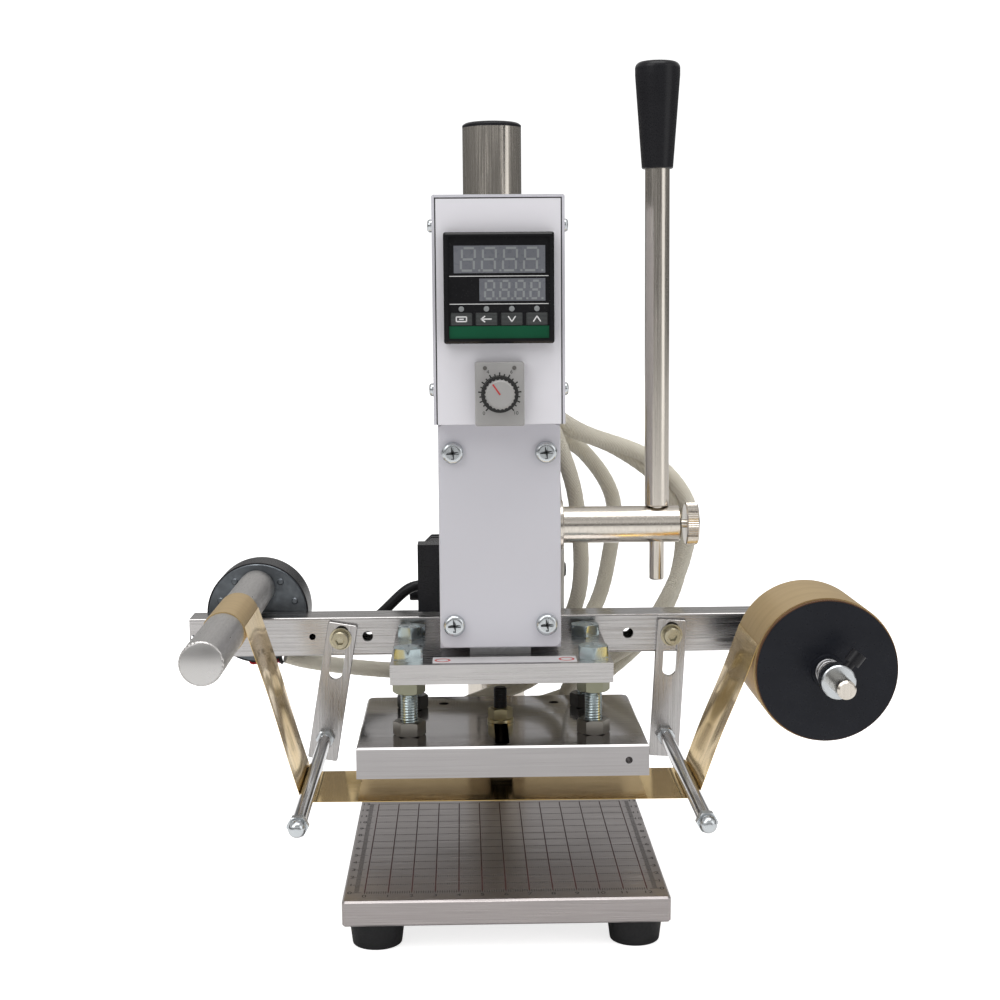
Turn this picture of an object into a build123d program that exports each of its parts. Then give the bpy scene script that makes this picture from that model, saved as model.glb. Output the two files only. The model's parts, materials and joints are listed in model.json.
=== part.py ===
from build123d import *
from math import acos, cos, hypot, pi, radians, sin, sqrt, tan
import os

# Bench-top hot foil stamping press with a motorised foil feed. Millimetres, +Z up, +X right,
# the operator stands on the -Y side. The origin is the middle of the work table's top face,
# on the axis of the ram. Every piece is drawn where it sits with the lever up.

os.makedirs("parts", exist_ok=True)

# ---------------------------------------------------------------- driving dimensions
RUN = 0.05                                     # radial clearance of a running fit
SEAT = 0.1                                     # gap left where two soft or loose pieces meet

table_half_w, table_front, table_back, table_t = 69, -98, 126, 11
foot_h, foot_top_r, foot_bottom_r = 12, 12, 10.5
foot_x, foot_inset = 55, 15

column_y, column_r, column_wall, column_top = 96, 15, 3, 337
cap_h = 3

stroke = 30                                    # travel of the ram
body_half_w, body_front, body_rear = 27.5, -22, 36
body_bottom, body_top = 92, 195
cover_t = 3
cover_screw_x, cover_screw_low, cover_screw_high = 21, 103, 181.5
neck_half_w, neck_bottom = 12, 99
boss_r, boss_bottom = 21, 90
knob_right_z, knob_left_z = 109.5, 98.2

ram_half_w, ram_front, ram_top = 14, -16, 189
rack_module, pinion_teeth = 1.5, 20
pitch_r = rack_module * pinion_teeth / 2
pinion_y, pinion_z = 20, 142.7
rack_pitch_y = pinion_y - pitch_r
rack_tip_y = rack_pitch_y + rack_module
pinion_half_w = 10
shaft_r = 7

box_half_w, box_front, box_back = 29, -38, 70
box_bottom, box_top, sheet = 195, 295, 1.2
box_screw_z = (210, 282)
controller_z, controller_side, bezel_t = 254.6, 48, 7
key_x, key_row_z = (-16.4, -5.5, 5.5, 16.4), controller_z - 13.4
key_w, key_h = 9.6, 5.6
timer_z, timer_w, timer_h, timer_t = 208.6, 21.5, 28, 6
dial_r, dial_t = 6.25, 7

plate_half_w, plate_front, plate_back = 50, -40, 37
plate_bottom, plate_top = 79, 88
heat_half_w, heat_half_d = 65, 50
heat_bottom, heat_top = 39, 53
bolt_x, bolt_front_y, bolt_back_y = 42, -26, 27
bolt_len = 45

bar_half_len, bar_size, bar_bottom, bar_wall = 151, 19, 77, 1.8
bar_mid_z = bar_bottom + bar_size / 2
arm_w, arm_t, arm_above, arm_drop, arm_below = 14.5, 3, 7.4, 50, 11
arm_pivot_z = 86
arm_left_x, arm_left_tilt = -77, -9.5          # tilt: degrees the foot of the arm swings outward
arm_right_x, arm_right_tilt = 85, -3.4
rod_r, rod_front = 3.2, -108

roller_x, roller_z, roller_r, roller_front, roller_back = -120, 108, 9, -128, 57
motor_r, motor_front, motor_back, motor_offset = 25, 58, 80, 13
reel_x, reel_z, roll_r, flange_r = 140, 89, 31.5, 30.5
foil_front, foil_back, foil_t = -65, -15, 0.3
spindle_r = 4

hub_r, hub_start, hub_end = 8.75, 31, 87
lever_x, lever_r, lever_thin_r = 76, 5.75, 3.5
lever_top, lever_bottom = 310, 116
grip_h, grip_top_r, grip_bottom_r = 49, 10.5, 7.3


# ---------------------------------------------------------------- planes and repeated shapes
def front(y):
    """Sketch plane at depth y, seen by the operator; a positive extrude comes forward (-Y)."""
    return Plane.XZ.offset(-y)


def side(x):
    """Sketch plane at width x, local axes Y and Z; a positive extrude goes right (+X)."""
    return Plane.YZ.offset(x)


def level(z):
    """Horizontal sketch plane at height z."""
    return Plane.XY.offset(z)


def facing(x, y, z, direction):
    """Placement whose local +Z points along direction, for screws and knobs."""
    x_dir = (1, 0, 0) if abs(direction[0]) < 0.5 else (0, 1, 0)
    return Plane(origin=(x, y, z), x_dir=x_dir, z_dir=direction)


def pan_screw(head_r, head_h, shank_r, shank_len):
    """Pan-head screw with a cross recess, head up, its seat at z = 0."""
    slot_w = head_r * 0.26
    with BuildPart() as screw:
        with BuildSketch(Plane.XY):
            Circle(head_r)
        extrude(amount=head_h)
        fillet(screw.edges().group_by(Axis.Z)[-1], head_h * 0.62)
        with BuildSketch(level(head_h)):
            Rectangle(head_r * 1.15, slot_w)
            Rectangle(slot_w, head_r * 1.15)
        extrude(amount=-head_h * 0.6, mode=Mode.SUBTRACT)
        with BuildSketch(Plane.XY):
            Circle(shank_r)
        extrude(amount=-shank_len)
    return screw.part


def socket_screw(head_r, head_h, shank_r, shank_len, socket_flats):
    """Socket cap screw, head up, its seat at z = 0."""
    with BuildPart() as screw:
        with BuildSketch(Plane.XY):
            Circle(head_r)
        extrude(amount=head_h)
        chamfer(screw.edges().group_by(Axis.Z)[-1], 0.4)
        with BuildSketch(Plane.XY):
            Circle(shank_r)
        extrude(amount=-shank_len)
        with BuildSketch(level(head_h)):
            RegularPolygon(socket_flats / 2, 6, major_radius=False)
        extrude(amount=-head_h * 0.55, mode=Mode.SUBTRACT)
    return screw.part


def hex_blank(flats, height, corner_cut):
    """Hexagonal prism on z = 0 with its corners turned off top and bottom, as nuts are."""
    with BuildPart() as blank:
        with BuildSketch(Plane.XY):
            RegularPolygon(flats / 2, 6, major_radius=False)
        extrude(amount=height)
        with BuildSketch(Plane.XZ):
            corner_r = flats / 2 / cos(pi / 6)
            with BuildLine():
                Polyline((0, 0), (flats / 2, 0), (corner_r + SEAT, corner_cut),
                         (corner_r + SEAT, height - corner_cut), (flats / 2, height), (0, height), close=True)
            make_face()
        revolve(axis=Axis.Z, mode=Mode.INTERSECT)
    return blank.part


def hex_nut(flats, height, bore_r):
    """Plain nut standing on z = 0."""
    with BuildPart() as nut:
        add(hex_blank(flats, height, flats * 0.045))
        with BuildSketch(Plane.XY):
            Circle(bore_r)
        extrude(amount=height, mode=Mode.SUBTRACT)
        chamfer(nut.edges().filter_by(GeomType.CIRCLE).group_by(SortBy.RADIUS)[0], bore_r * 0.1)
    return nut.part


def ring(outer_r, inner_r, height):
    """Washer or tube standing on z = 0."""
    with BuildPart() as washer:
        with BuildSketch(Plane.XY):
            Circle(outer_r)
            Circle(inner_r, mode=Mode.SUBTRACT)
        extrude(amount=height)
    return washer.part


def coil(wire_r, mean_r, length, turns):
    """Coil spring along +Z from z = 0, its wire kept inside that length."""
    with BuildPart() as spring:
        with BuildLine(level(wire_r)) as path:
            Helix(pitch=(length - 2 * wire_r) / turns, height=length - 2 * wire_r, radius=mean_r)
        start = path.line @ 0
        with BuildSketch(Plane(origin=start, z_dir=path.line % 0)):
            Circle(wire_r)
        sweep(is_frenet=True)
    return spring.part


def bent_tube(tube_r, points, bend_r):
    """Flexible lead along straights joined by round bends."""
    with BuildPart() as tube:
        with BuildLine() as path:
            FilletPolyline(*points, radius=bend_r)
        with BuildSketch(Plane(origin=points[0], z_dir=path.line % 0)):
            Circle(tube_r)
        sweep()
    return tube.part


def tangent_line(centre_a, radius_a, centre_b, radius_b):
    """Ends of the straight between two circles; a negative radius passes on the other side."""
    dx = centre_b[0] - centre_a[0]
    dz = centre_b[1] - centre_a[1]
    span = hypot(dx, dz)
    along = (radius_a - radius_b) / span
    across = sqrt(1 - along * along)
    nx = along * dx / span - across * dz / span
    nz = along * dz / span + across * dx / span
    start = (centre_a[0] + radius_a * nx, centre_a[1] + radius_a * nz)
    end = (centre_b[0] + radius_b * nx, centre_b[1] + radius_b * nz)
    return start, end


# ---------------------------------------------------------------- stand
foot_front_y = table_front + foot_inset
foot_back_y = table_back - foot_inset
feet_at = [(x, y) for x in (-foot_x, foot_x) for y in (foot_front_y, foot_back_y)]
column_screw_r = 5

with BuildPart() as base_plate:
    with BuildSketch(level(-table_t)):
        with Locations((0, (table_front + table_back) / 2)):
            RectangleRounded(2 * table_half_w, table_back - table_front, 1.5)
    extrude(amount=table_t)
    chamfer(base_plate.edges().group_by(Axis.Z)[-1], 0.8)
    chamfer(base_plate.edges().group_by(Axis.Z)[0], 0.8)
    with BuildSketch(level(-table_t)):
        with Locations(feet_at):
            Circle(2.1)
        with Locations((0, column_y)):
            Circle(8.2)
    extrude(amount=6, mode=Mode.SUBTRACT)
    with BuildSketch(level(-table_t)):
        with Locations((0, column_y)):
            Circle(column_screw_r + 0.2)
    extrude(amount=table_t, mode=Mode.SUBTRACT)
base_plate.part.label = "base_plate"
export_step(base_plate.part, "parts/base_plate.step")

with BuildPart() as foot:
    with BuildSketch(level(-table_t - foot_h)):
        Circle(foot_bottom_r)
    with BuildSketch(level(-table_t)):
        Circle(foot_top_r)
    loft()
    fillet(foot.edges().group_by(Axis.Z)[0], 1)
    with BuildSketch(level(-table_t - foot_h)):
        Circle(4.6)
    extrude(amount=6, mode=Mode.SUBTRACT)
    with BuildSketch(level(-table_t - foot_h)):
        Circle(2.3)
    extrude(amount=foot_h, mode=Mode.SUBTRACT)

with BuildPart() as rubber_feet:
    with Locations([(x, y, 0) for x, y in feet_at]):
        add(foot.part)
rubber_feet.part.label = "rubber_feet"
export_step(rubber_feet.part, "parts/rubber_feet.step")

foot_screw = pan_screw(4, 2.6, 2, 11.5)
column_screw = socket_screw(8, 5.6, column_screw_r, 26, 8)
with BuildPart() as base_screws:
    with Locations([facing(x, y, -table_t - foot_h + 6, (0, 0, -1)) for x, y in feet_at]):
        add(foot_screw)
    with Locations(facing(0, column_y, -table_t + 6, (0, 0, -1))):
        add(column_screw)
base_screws.part.label = "base_screws"
export_step(base_screws.part, "parts/base_screws.step")

with BuildPart() as column:
    with BuildSketch(level(0)):
        with Locations((0, column_y)):
            Circle(column_r)
    extrude(amount=column_top)
    with BuildSketch(level(25)):
        with Locations((0, column_y)):
            Circle(column_r - column_wall)
    extrude(amount=column_top - 25, mode=Mode.SUBTRACT)
    with BuildSketch(level(0)):
        with Locations((0, column_y)):
            Circle(column_screw_r + SEAT / 2)
    extrude(amount=25, mode=Mode.SUBTRACT)
column.part.label = "column"
export_step(column.part, "parts/column.step")

with BuildPart() as column_cap:
    with BuildSketch(Plane.XZ.offset(-column_y)):
        with BuildLine():
            Polyline((0, column_top - 8), (column_r - column_wall - RUN, column_top - 8))
            Line((column_r - column_wall - RUN, column_top - 8), (column_r - column_wall - RUN, column_top))
            Line((column_r - column_wall - RUN, column_top), (column_r, column_top))
            Line((column_r, column_top), (column_r, column_top + 1.2))
            ThreePointArc((column_r, column_top + 1.2), (column_r - 1.2, column_top + 2.2),
                          (column_r - 3, column_top + 2.6))
            Line((column_r - 3, column_top + 2.6), (0, column_top + cap_h))
            Line((0, column_top + cap_h), (0, column_top - 8))
        make_face()
    revolve(axis=Axis((0, column_y, 0), (0, 0, 1)))
column_cap.part.label = "column_cap"
export_step(column_cap.part, "parts/column_cap.step")


# ---------------------------------------------------------------- press head
pin_z = 100
pin_y = -6
pin_r = 2.5
ear_r = 17.5                                   # right-hand bearing bore, wide enough for the pinion

with BuildPart() as press_body:
    with BuildSketch(level(body_bottom)):
        with Locations((0, (body_front + body_rear) / 2)):
            Rectangle(2 * body_half_w, body_rear - body_front)
    extrude(amount=body_top - body_bottom)
    # neck and column boss
    with BuildSketch(level(neck_bottom)):
        with Locations((0, (body_rear + column_y) / 2)):
            Rectangle(2 * neck_half_w, column_y - body_rear)
    extrude(amount=body_top - neck_bottom)
    with BuildSketch(level(boss_bottom)):
        with Locations((0, column_y)):
            Circle(boss_r)
    extrude(amount=body_top - boss_bottom)
    with BuildSketch(level(boss_bottom)):
        with Locations((0, column_y)):
            Circle(column_r + RUN)
    extrude(amount=body_top - boss_bottom, mode=Mode.SUBTRACT)
    # square guide for the ram
    with BuildSketch(level(body_bottom)):
        with Locations((0, (ram_front + rack_tip_y) / 2)):
            Rectangle(2 * (ram_half_w + RUN), rack_tip_y - ram_front + 2 * RUN)
    extrude(amount=body_top - body_bottom, mode=Mode.SUBTRACT)
    # pinion chamber, opened from the right so that the pinion goes in
    with BuildSketch(side(-pinion_half_w - 2)):
        with Locations((pinion_y, pinion_z)):
            Circle(ear_r)
    extrude(amount=pinion_half_w + 2 + body_half_w, mode=Mode.SUBTRACT)
    with BuildSketch(side(-body_half_w)):
        with Locations((pinion_y, pinion_z)):
            Circle(10)
    extrude(amount=body_half_w, mode=Mode.SUBTRACT)
    # spring pin, cover screws, box screws
    with BuildSketch(side(-body_half_w)):
        with Locations((pin_y, pin_z)):
            Circle(pin_r)
    extrude(amount=2 * body_half_w, mode=Mode.SUBTRACT)
    with BuildSketch(front(body_front)):
        with Locations([(x, z) for x in (-cover_screw_x, cover_screw_x)
                        for z in (cover_screw_low, cover_screw_high)]):
            Circle(2.6)
    extrude(amount=-14, mode=Mode.SUBTRACT)
    with BuildSketch(level(body_top)):
        with Locations((-20, 26), (20, 26)):
            Circle(2.1)
    extrude(amount=-12, mode=Mode.SUBTRACT)
    # clamp screws of the column
    with BuildSketch(side(-boss_r)):
        with Locations((column_y, knob_left_z)):
            Circle(2.6)
    extrude(amount=7, mode=Mode.SUBTRACT)
    with BuildSketch(side(boss_r)):
        with Locations((column_y, knob_right_z)):
            Circle(2.6)
    extrude(amount=-7, mode=Mode.SUBTRACT)
press_body.part.label = "press_body"
export_step(press_body.part, "parts/press_body.step")

with BuildPart() as front_cover:
    with BuildSketch(front(body_front)):
        with Locations((0, (body_bottom + body_top) / 2)):
            RectangleRounded(2 * body_half_w, body_top - body_bottom - 1, 3)
        with Locations([(x, z) for x in (-cover_screw_x, cover_screw_x)
                        for z in (cover_screw_low, cover_screw_high)]):
            Circle(2.7, mode=Mode.SUBTRACT)
    extrude(amount=cover_t)
    chamfer(front_cover.faces().sort_by(Axis.Y)[0].outer_wire().edges(), 0.5)
front_cover.part.label = "front_cover"
export_step(front_cover.part, "parts/front_cover.step")

cover_screw = pan_screw(5, 3.2, 2.5, 14)
with BuildPart() as cover_screws:
    with Locations([facing(x, body_front - cover_t, z, (0, -1, 0)) for x in (-cover_screw_x, cover_screw_x)
                    for z in (cover_screw_low, cover_screw_high)]):
        add(cover_screw)
cover_screws.part.label = "cover_screws"
export_step(cover_screws.part, "parts/cover_screws.step")

with BuildPart() as shaft_bushes:
    with BuildSketch(side(ram_half_w + 0.3)):
        with Locations((pinion_y, pinion_z)):
            Circle(ear_r)
            Circle(shaft_r + RUN, mode=Mode.SUBTRACT)
    extrude(amount=body_half_w - ram_half_w - 0.3)
    with BuildSketch(side(-body_half_w)):
        with Locations((pinion_y, pinion_z)):
            Circle(10)
            Circle(shaft_r + RUN, mode=Mode.SUBTRACT)
    extrude(amount=body_half_w - pinion_half_w - 2.5)
shaft_bushes.part.label = "shaft_bushes"
export_step(shaft_bushes.part, "parts/shaft_bushes.step")

with BuildPart() as spring_pin:
    with BuildSketch(side(-body_half_w)):
        with Locations((pin_y, pin_z)):
            Circle(pin_r)
    extrude(amount=2 * body_half_w)
spring_pin.part.label = "spring_pin"
export_step(spring_pin.part, "parts/spring_pin.step")

bore_r = 6
bore_top = 180
spring = coil(0.8, 4.7, bore_top - pin_z - pin_r - 2 * SEAT, 9.5)
with BuildPart() as return_spring:
    with Locations((0, pin_y, pin_z + pin_r + SEAT)):
        add(spring)
return_spring.part.label = "return_spring"
export_step(return_spring.part, "parts/return_spring.step")

# Black-headed screws that grip the column from either side of the boss.
with BuildPart() as knob:
    with BuildSketch(Plane.XY):
        Circle(2.5)
    extrude(amount=14)
    with BuildSketch(level(9)):
        Circle(3.2)
    extrude(amount=4)

with BuildPart() as clamp_knob_right:
    with Locations(facing(column_r + 0.3, column_y, knob_right_z, (1, 0, 0))):
        add(knob.part)
    with BuildSketch(side(column_r + 14)):
        with Locations((column_y, knob_right_z)):
            Circle(3.75)
    extrude(amount=8)
    chamfer(clamp_knob_right.edges().group_by(Axis.X)[-1], 0.6)
clamp_knob_right.part.label = "clamp_knob_right"
export_step(clamp_knob_right.part, "parts/clamp_knob_right.step")

with BuildPart() as clamp_knob_left:
    with BuildSketch(side(-column_r - 0.3)):
        with Locations((column_y, knob_left_z)):
            Circle(2.5)
    extrude(amount=-22)
    with BuildSketch(side(-boss_r - 15)):
        with Locations((column_y, knob_left_z)):
            Circle(4.25)
    extrude(amount=-9)
    chamfer(clamp_knob_left.edges().group_by(Axis.X)[0], 0.6)
clamp_knob_left.part.label = "clamp_knob_left"
export_step(clamp_knob_left.part, "parts/clamp_knob_left.step")


# ---------------------------------------------------------------- control box
cutout = 45.2
controller_body = 44.8
chassis_half_w = box_half_w - sheet - SEAT

with BuildPart() as box_chassis:
    # front panel, floor and rear panel, bent from one sheet, with the side flanges the cover screws to
    with BuildSketch(side(-chassis_half_w)):
        with BuildLine():
            Polyline((box_front, box_bottom), (box_back, box_bottom), (box_back, box_top - sheet - SEAT),
                     (box_back - sheet, box_top - sheet - SEAT), (box_back - sheet, box_bottom + sheet),
                     (box_front + sheet, box_bottom + sheet), (box_front + sheet, box_top - sheet - SEAT),
                     (box_front, box_top - sheet - SEAT), close=True)
        make_face()
    extrude(amount=2 * chassis_half_w)
    for edge_x in (-chassis_half_w, chassis_half_w - sheet):
        with BuildSketch(side(edge_x)):
            with Locations((box_front + 8, (box_bottom + box_top) / 2)):
                Rectangle(14, box_top - box_bottom - 12)
            with Locations((box_front + 10, box_screw_z[0]), (box_front + 10, box_screw_z[1])):
                Circle(1.6, mode=Mode.SUBTRACT)
        extrude(amount=sheet)
    with BuildSketch(front(box_front + sheet)):
        with Locations((0, controller_z)):
            Rectangle(cutout, cutout)
        with Locations((0, timer_z)):
            Rectangle(timer_w - 2, timer_h - 4)
    extrude(amount=sheet, mode=Mode.SUBTRACT)
    with BuildSketch(level(box_bottom)):
        with Locations((-20, 26), (20, 26)):
            Circle(2.2)
        with Locations((18, 62)):
            SlotCenterToCenter(16, 9)
    extrude(amount=sheet, mode=Mode.SUBTRACT)
    with BuildSketch(front(box_back)):
        with Locations((-14, 228)):
            Rectangle(13.4, 19.4)
    extrude(amount=sheet, mode=Mode.SUBTRACT)
box_chassis.part.label = "box_chassis"
export_step(box_chassis.part, "parts/box_chassis.step")

with BuildPart() as box_cover:
    with BuildSketch(front(box_front)):
        with BuildLine():
            Polyline((-box_half_w, box_bottom), (-box_half_w, box_top - 1))
            RadiusArc((-box_half_w, box_top - 1), (-box_half_w + 1, box_top), 1)
            Line((-box_half_w + 1, box_top), (box_half_w - 1, box_top))
            RadiusArc((box_half_w - 1, box_top), (box_half_w, box_top - 1), 1)
            Polyline((box_half_w, box_top - 1), (box_half_w, box_bottom), (box_half_w - sheet, box_bottom),
                     (box_half_w - sheet, box_top - sheet), (-box_half_w + sheet, box_top - sheet),
                     (-box_half_w + sheet, box_bottom), (-box_half_w, box_bottom))
        make_face()
    extrude(amount=-(box_back - box_front))
    with BuildSketch(side(-box_half_w)):
        with Locations((box_front + 10, box_screw_z[0]), (box_front + 10, box_screw_z[1])):
            Circle(1.7)
    extrude(amount=2 * box_half_w, mode=Mode.SUBTRACT)
box_cover.part.label = "box_cover"
export_step(box_cover.part, "parts/box_cover.step")

box_screw = pan_screw(2.9, 2, 1.5, 5)
floor_screw = pan_screw(4, 2.4, 2, 12)
with BuildPart() as box_screws:
    with Locations([facing(s * box_half_w, box_front + 10, z, (s, 0, 0)) for s in (-1, 1) for z in box_screw_z]):
        add(box_screw)
    with Locations([(x, 26, box_bottom + sheet) for x in (-20, 20)]):
        add(floor_screw)
box_screws.part.label = "box_screws"
export_step(box_screws.part, "parts/box_screws.step")

with BuildPart() as controller_case:
    with BuildSketch(front(box_front)):
        with Locations((0, controller_z)):
            RectangleRounded(controller_side, controller_side, 1)
    extrude(amount=bezel_t)
    chamfer(controller_case.faces().sort_by(Axis.Y)[0].edges(), 1)
    with BuildSketch(front(box_front)):
        with Locations((0, controller_z)):
            Rectangle(controller_body, controller_body)
    extrude(amount=-66)
    # shallow recess of the display and keypad
    with BuildSketch(front(box_front - bezel_t)):
        with Locations((0, controller_z)):
            RectangleRounded(44, 44, 0.8)
    extrude(amount=-1, mode=Mode.SUBTRACT)
    with BuildSketch(front(box_front - bezel_t + 1)):
        with Locations([(x, key_row_z) for x in key_x]):
            RectangleRounded(key_w + 0.2, key_h + 0.2, 0.8)
    extrude(amount=-2.9, mode=Mode.SUBTRACT)
controller_case.part.label = "controller_case"
export_step(controller_case.part, "parts/controller_case.step")


def controller_key(x):
    """One small key of the temperature controller, standing a little out of its pocket."""
    with BuildPart() as key:
        with BuildSketch(front(box_front - bezel_t + 3)):
            with Locations((x, key_row_z)):
                RectangleRounded(key_w, key_h, 0.7)
        extrude(amount=2.4)
        fillet(key.faces().sort_by(Axis.Y)[0].edges(), 0.3)
    return key.part


key_set = controller_key(key_x[0])
key_set.label = "key_set"
export_step(key_set, "parts/key_set.step")

key_shift = controller_key(key_x[1])
key_shift.label = "key_shift"
export_step(key_shift, "parts/key_shift.step")

key_down = controller_key(key_x[2])
key_down.label = "key_down"
export_step(key_down, "parts/key_down.step")

key_up = controller_key(key_x[3])
key_up.label = "key_up"
export_step(key_up, "parts/key_up.step")

with BuildPart() as timer_case:
    with BuildSketch(front(box_front)):
        with Locations((0, timer_z)):
            RectangleRounded(timer_w, timer_h, 1)
    extrude(amount=timer_t)
    chamfer(timer_case.faces().sort_by(Axis.Y)[0].edges(), 0.5)
    with BuildSketch(front(box_front)):
        with Locations((0, timer_z)):
            Rectangle(timer_w - 2.3, timer_h - 4.3)
    extrude(amount=-50)
    with BuildSketch(front(box_front - timer_t)):
        with Locations((0, timer_z)):
            Circle(1.6)
    extrude(amount=-8, mode=Mode.SUBTRACT)
timer_case.part.label = "timer_case"
export_step(timer_case.part, "parts/timer_case.step")

with BuildPart() as timer_dial:
    with BuildSketch(front(box_front - timer_t - SEAT)):
        with Locations((0, timer_z)):
            Circle(dial_r + 1.6)
    extrude(amount=0.6)
    with BuildSketch(front(box_front - timer_t - SEAT)):
        with Locations((0, timer_z)):
            Circle(dial_r)
    extrude(amount=dial_t)
    chamfer(timer_dial.edges().group_by(Axis.Y)[0], 0.6)
    with BuildSketch(front(box_front - timer_t - SEAT)):
        with Locations((0, timer_z)):
            Circle(1.6 - RUN)
    extrude(amount=-6)
timer_dial.part.label = "timer_dial"
export_step(timer_dial.part, "parts/timer_dial.step")

# Mains switch in the rear panel: a snap-in frame with a rocker on its own pivot.
switch_x, switch_z = -14, 228
with BuildPart() as switch_frame:
    with BuildSketch(front(box_back)):
        with Locations((switch_x, switch_z)):
            RectangleRounded(15, 21, 1)
    extrude(amount=-2)
    with BuildSketch(front(box_back)):
        with Locations((switch_x, switch_z)):
            Rectangle(13, 19)
    extrude(amount=14)
    with BuildSketch(front(box_back + 2)):
        with Locations((switch_x, switch_z)):
            Rectangle(9, 15.4)
    extrude(amount=11, mode=Mode.SUBTRACT)
switch_frame.part.label = "switch_frame"
export_step(switch_frame.part, "parts/switch_frame.step")

rocker_y = box_back - 1
with BuildPart() as rocker:
    with BuildSketch(side(switch_x - 4.2)):
        with BuildLine():
            Polyline((rocker_y - 4, switch_z - 5), (rocker_y + 2.6, switch_z - 6.8), (rocker_y + 4.2, switch_z - 6.8))
            ThreePointArc((rocker_y + 4.2, switch_z - 6.8), (rocker_y + 2.8, switch_z),
                          (rocker_y + 4.2, switch_z + 6.8))
            Polyline((rocker_y + 4.2, switch_z + 6.8), (rocker_y + 2.6, switch_z + 6.8),
                     (rocker_y - 4, switch_z + 5), (rocker_y - 4, switch_z - 5))
        make_face()
    extrude(amount=8.4)
    with BuildSketch(side(switch_x - 4.4)):
        with Locations((rocker_y, switch_z)):
            Circle(1.2)
    extrude(amount=8.8)
rocker.part.label = "rocker"
export_step(rocker.part, "parts/rocker.step")

# Mains inlet on the back of the body block, with the moulded plug of the cord pushed into it.
inlet_x, inlet_z, plug_w, plug_h = -29, 115, 18, 31
with BuildPart() as mains_inlet:
    with BuildSketch(front(body_rear)):
        with Locations((inlet_x, inlet_z)):
            Rectangle(plug_w + 2, plug_h + 2)
    extrude(amount=-14)
    with BuildSketch(front(body_rear + 14)):
        with Locations((inlet_x, inlet_z)):
            Rectangle(13.2, 25.2)
    extrude(amount=11, mode=Mode.SUBTRACT)
mains_inlet.part.label = "mains_inlet"
export_step(mains_inlet.part, "parts/mains_inlet.step")

cord_r = 2.75
plug_front, plug_back = body_rear + 14 + SEAT, 84
cord_start = (inlet_x - plug_w / 2 + 1, 74, inlet_z - 9)
cord_points = [cord_start, (inlet_x - 16, 74, inlet_z - 10), (inlet_x - 40, 78, 80), (inlet_x - 40, 124, 76),
               (0, 136, 66), (0, 138, -12)]
cord = bent_tube(cord_r, cord_points, 5)
with BuildPart() as mains_cord:
    with BuildSketch(front(plug_front)):
        with BuildLine():
            left, right = inlet_x - plug_w / 2, inlet_x + plug_w / 2
            low, high = inlet_z - plug_h / 2, inlet_z + plug_h / 2
            Polyline((left, low), (right, low), (right, high), (left + 5, high), (left, high - 5), close=True)
        make_face()
    extrude(amount=-(plug_back - plug_front))
    fillet(mains_cord.edges().filter_by(Axis.Y), 1.2)
    with BuildSketch(front(plug_front)):
        with Locations((inlet_x, inlet_z)):
            Rectangle(13, 25)
    extrude(amount=10.5)
    add(cord)
mains_cord.part.label = "mains_cord"
export_step(mains_cord.part, "parts/mains_cord.step")


# ---------------------------------------------------------------- ram, plates and clamp screws
teeth_from = pinion_z - 2.5 * pi * rack_module
tooth_pitch = pi * rack_module
backlash = 0.2
root_y = rack_pitch_y - 1.25 * rack_module
gap_half = tooth_pitch / 4 + backlash / 4
flank = tan(radians(20))
plate_screw_at = [(-9.5, -12.5), (9.5, -12.5)]

with BuildPart() as ram:
    with BuildSketch(level(plate_top)):
        with Locations((0, (ram_front + rack_tip_y - SEAT / 2) / 2)):
            Rectangle(2 * ram_half_w, rack_tip_y - SEAT / 2 - ram_front)
    extrude(amount=ram_top - plate_top)
    # rack: one gap faces the pinion's axis with the lever up
    first_gap = round((teeth_from - pinion_z) / tooth_pitch)
    last_gap = int((ram_top - pinion_z) / tooth_pitch)
    for gap in range(first_gap, last_gap + 1):
        gap_z = pinion_z + gap * tooth_pitch
        tip_half = gap_half + rack_module * flank
        root_half = gap_half - 1.25 * rack_module * flank
        with BuildSketch(side(-ram_half_w)):
            with BuildLine():
                Polyline((rack_tip_y, gap_z - tip_half), (rack_tip_y, gap_z + tip_half),
                         (root_y, gap_z + root_half), (root_y, gap_z - root_half), close=True)
            make_face()
        extrude(amount=2 * ram_half_w, mode=Mode.SUBTRACT)
    # bore of the return spring, the pin's long slot, and the tapped holes for the plate
    with BuildSketch(level(plate_top)):
        with Locations((0, pin_y)):
            Circle(bore_r)
    extrude(amount=bore_top - plate_top, mode=Mode.SUBTRACT)
    with BuildSketch(side(-ram_half_w)):
        with Locations((pin_y, pin_z + stroke / 2)):
            SlotCenterToCenter(stroke, 2 * pin_r + 0.4, rotation=90)
    extrude(amount=2 * ram_half_w, mode=Mode.SUBTRACT)
    with BuildSketch(level(plate_top)):
        with Locations(plate_screw_at):
            Circle(1.7)
    extrude(amount=12, mode=Mode.SUBTRACT)
ram.part.label = "ram"
export_step(ram.part, "parts/ram.step")

bolts_at = [(x, y) for x in (-bolt_x, bolt_x) for y in (bolt_front_y, bolt_back_y)]
bar_screw_x = 34
plate_mid_z = (plate_bottom + plate_top) / 2

with BuildPart() as upper_plate:
    with BuildSketch(level(plate_bottom)):
        with Locations((0, (plate_front + plate_back) / 2)):
            Rectangle(2 * plate_half_w, plate_back - plate_front)
        with Locations(bolts_at):
            Circle(4.2, mode=Mode.SUBTRACT)
        with Locations(plate_screw_at):
            Circle(1.8, mode=Mode.SUBTRACT)
    extrude(amount=plate_top - plate_bottom)
    with BuildSketch(level(plate_bottom)):
        with Locations(plate_screw_at):
            Circle(3.2)
    extrude(amount=4, mode=Mode.SUBTRACT)
    with BuildSketch(front(plate_back)):
        with Locations((-bar_screw_x, plate_mid_z), (bar_screw_x, plate_mid_z)):
            Circle(2.1)
    extrude(amount=12, mode=Mode.SUBTRACT)
upper_plate.part.label = "upper_plate"
export_step(upper_plate.part, "parts/upper_plate.step")

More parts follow.
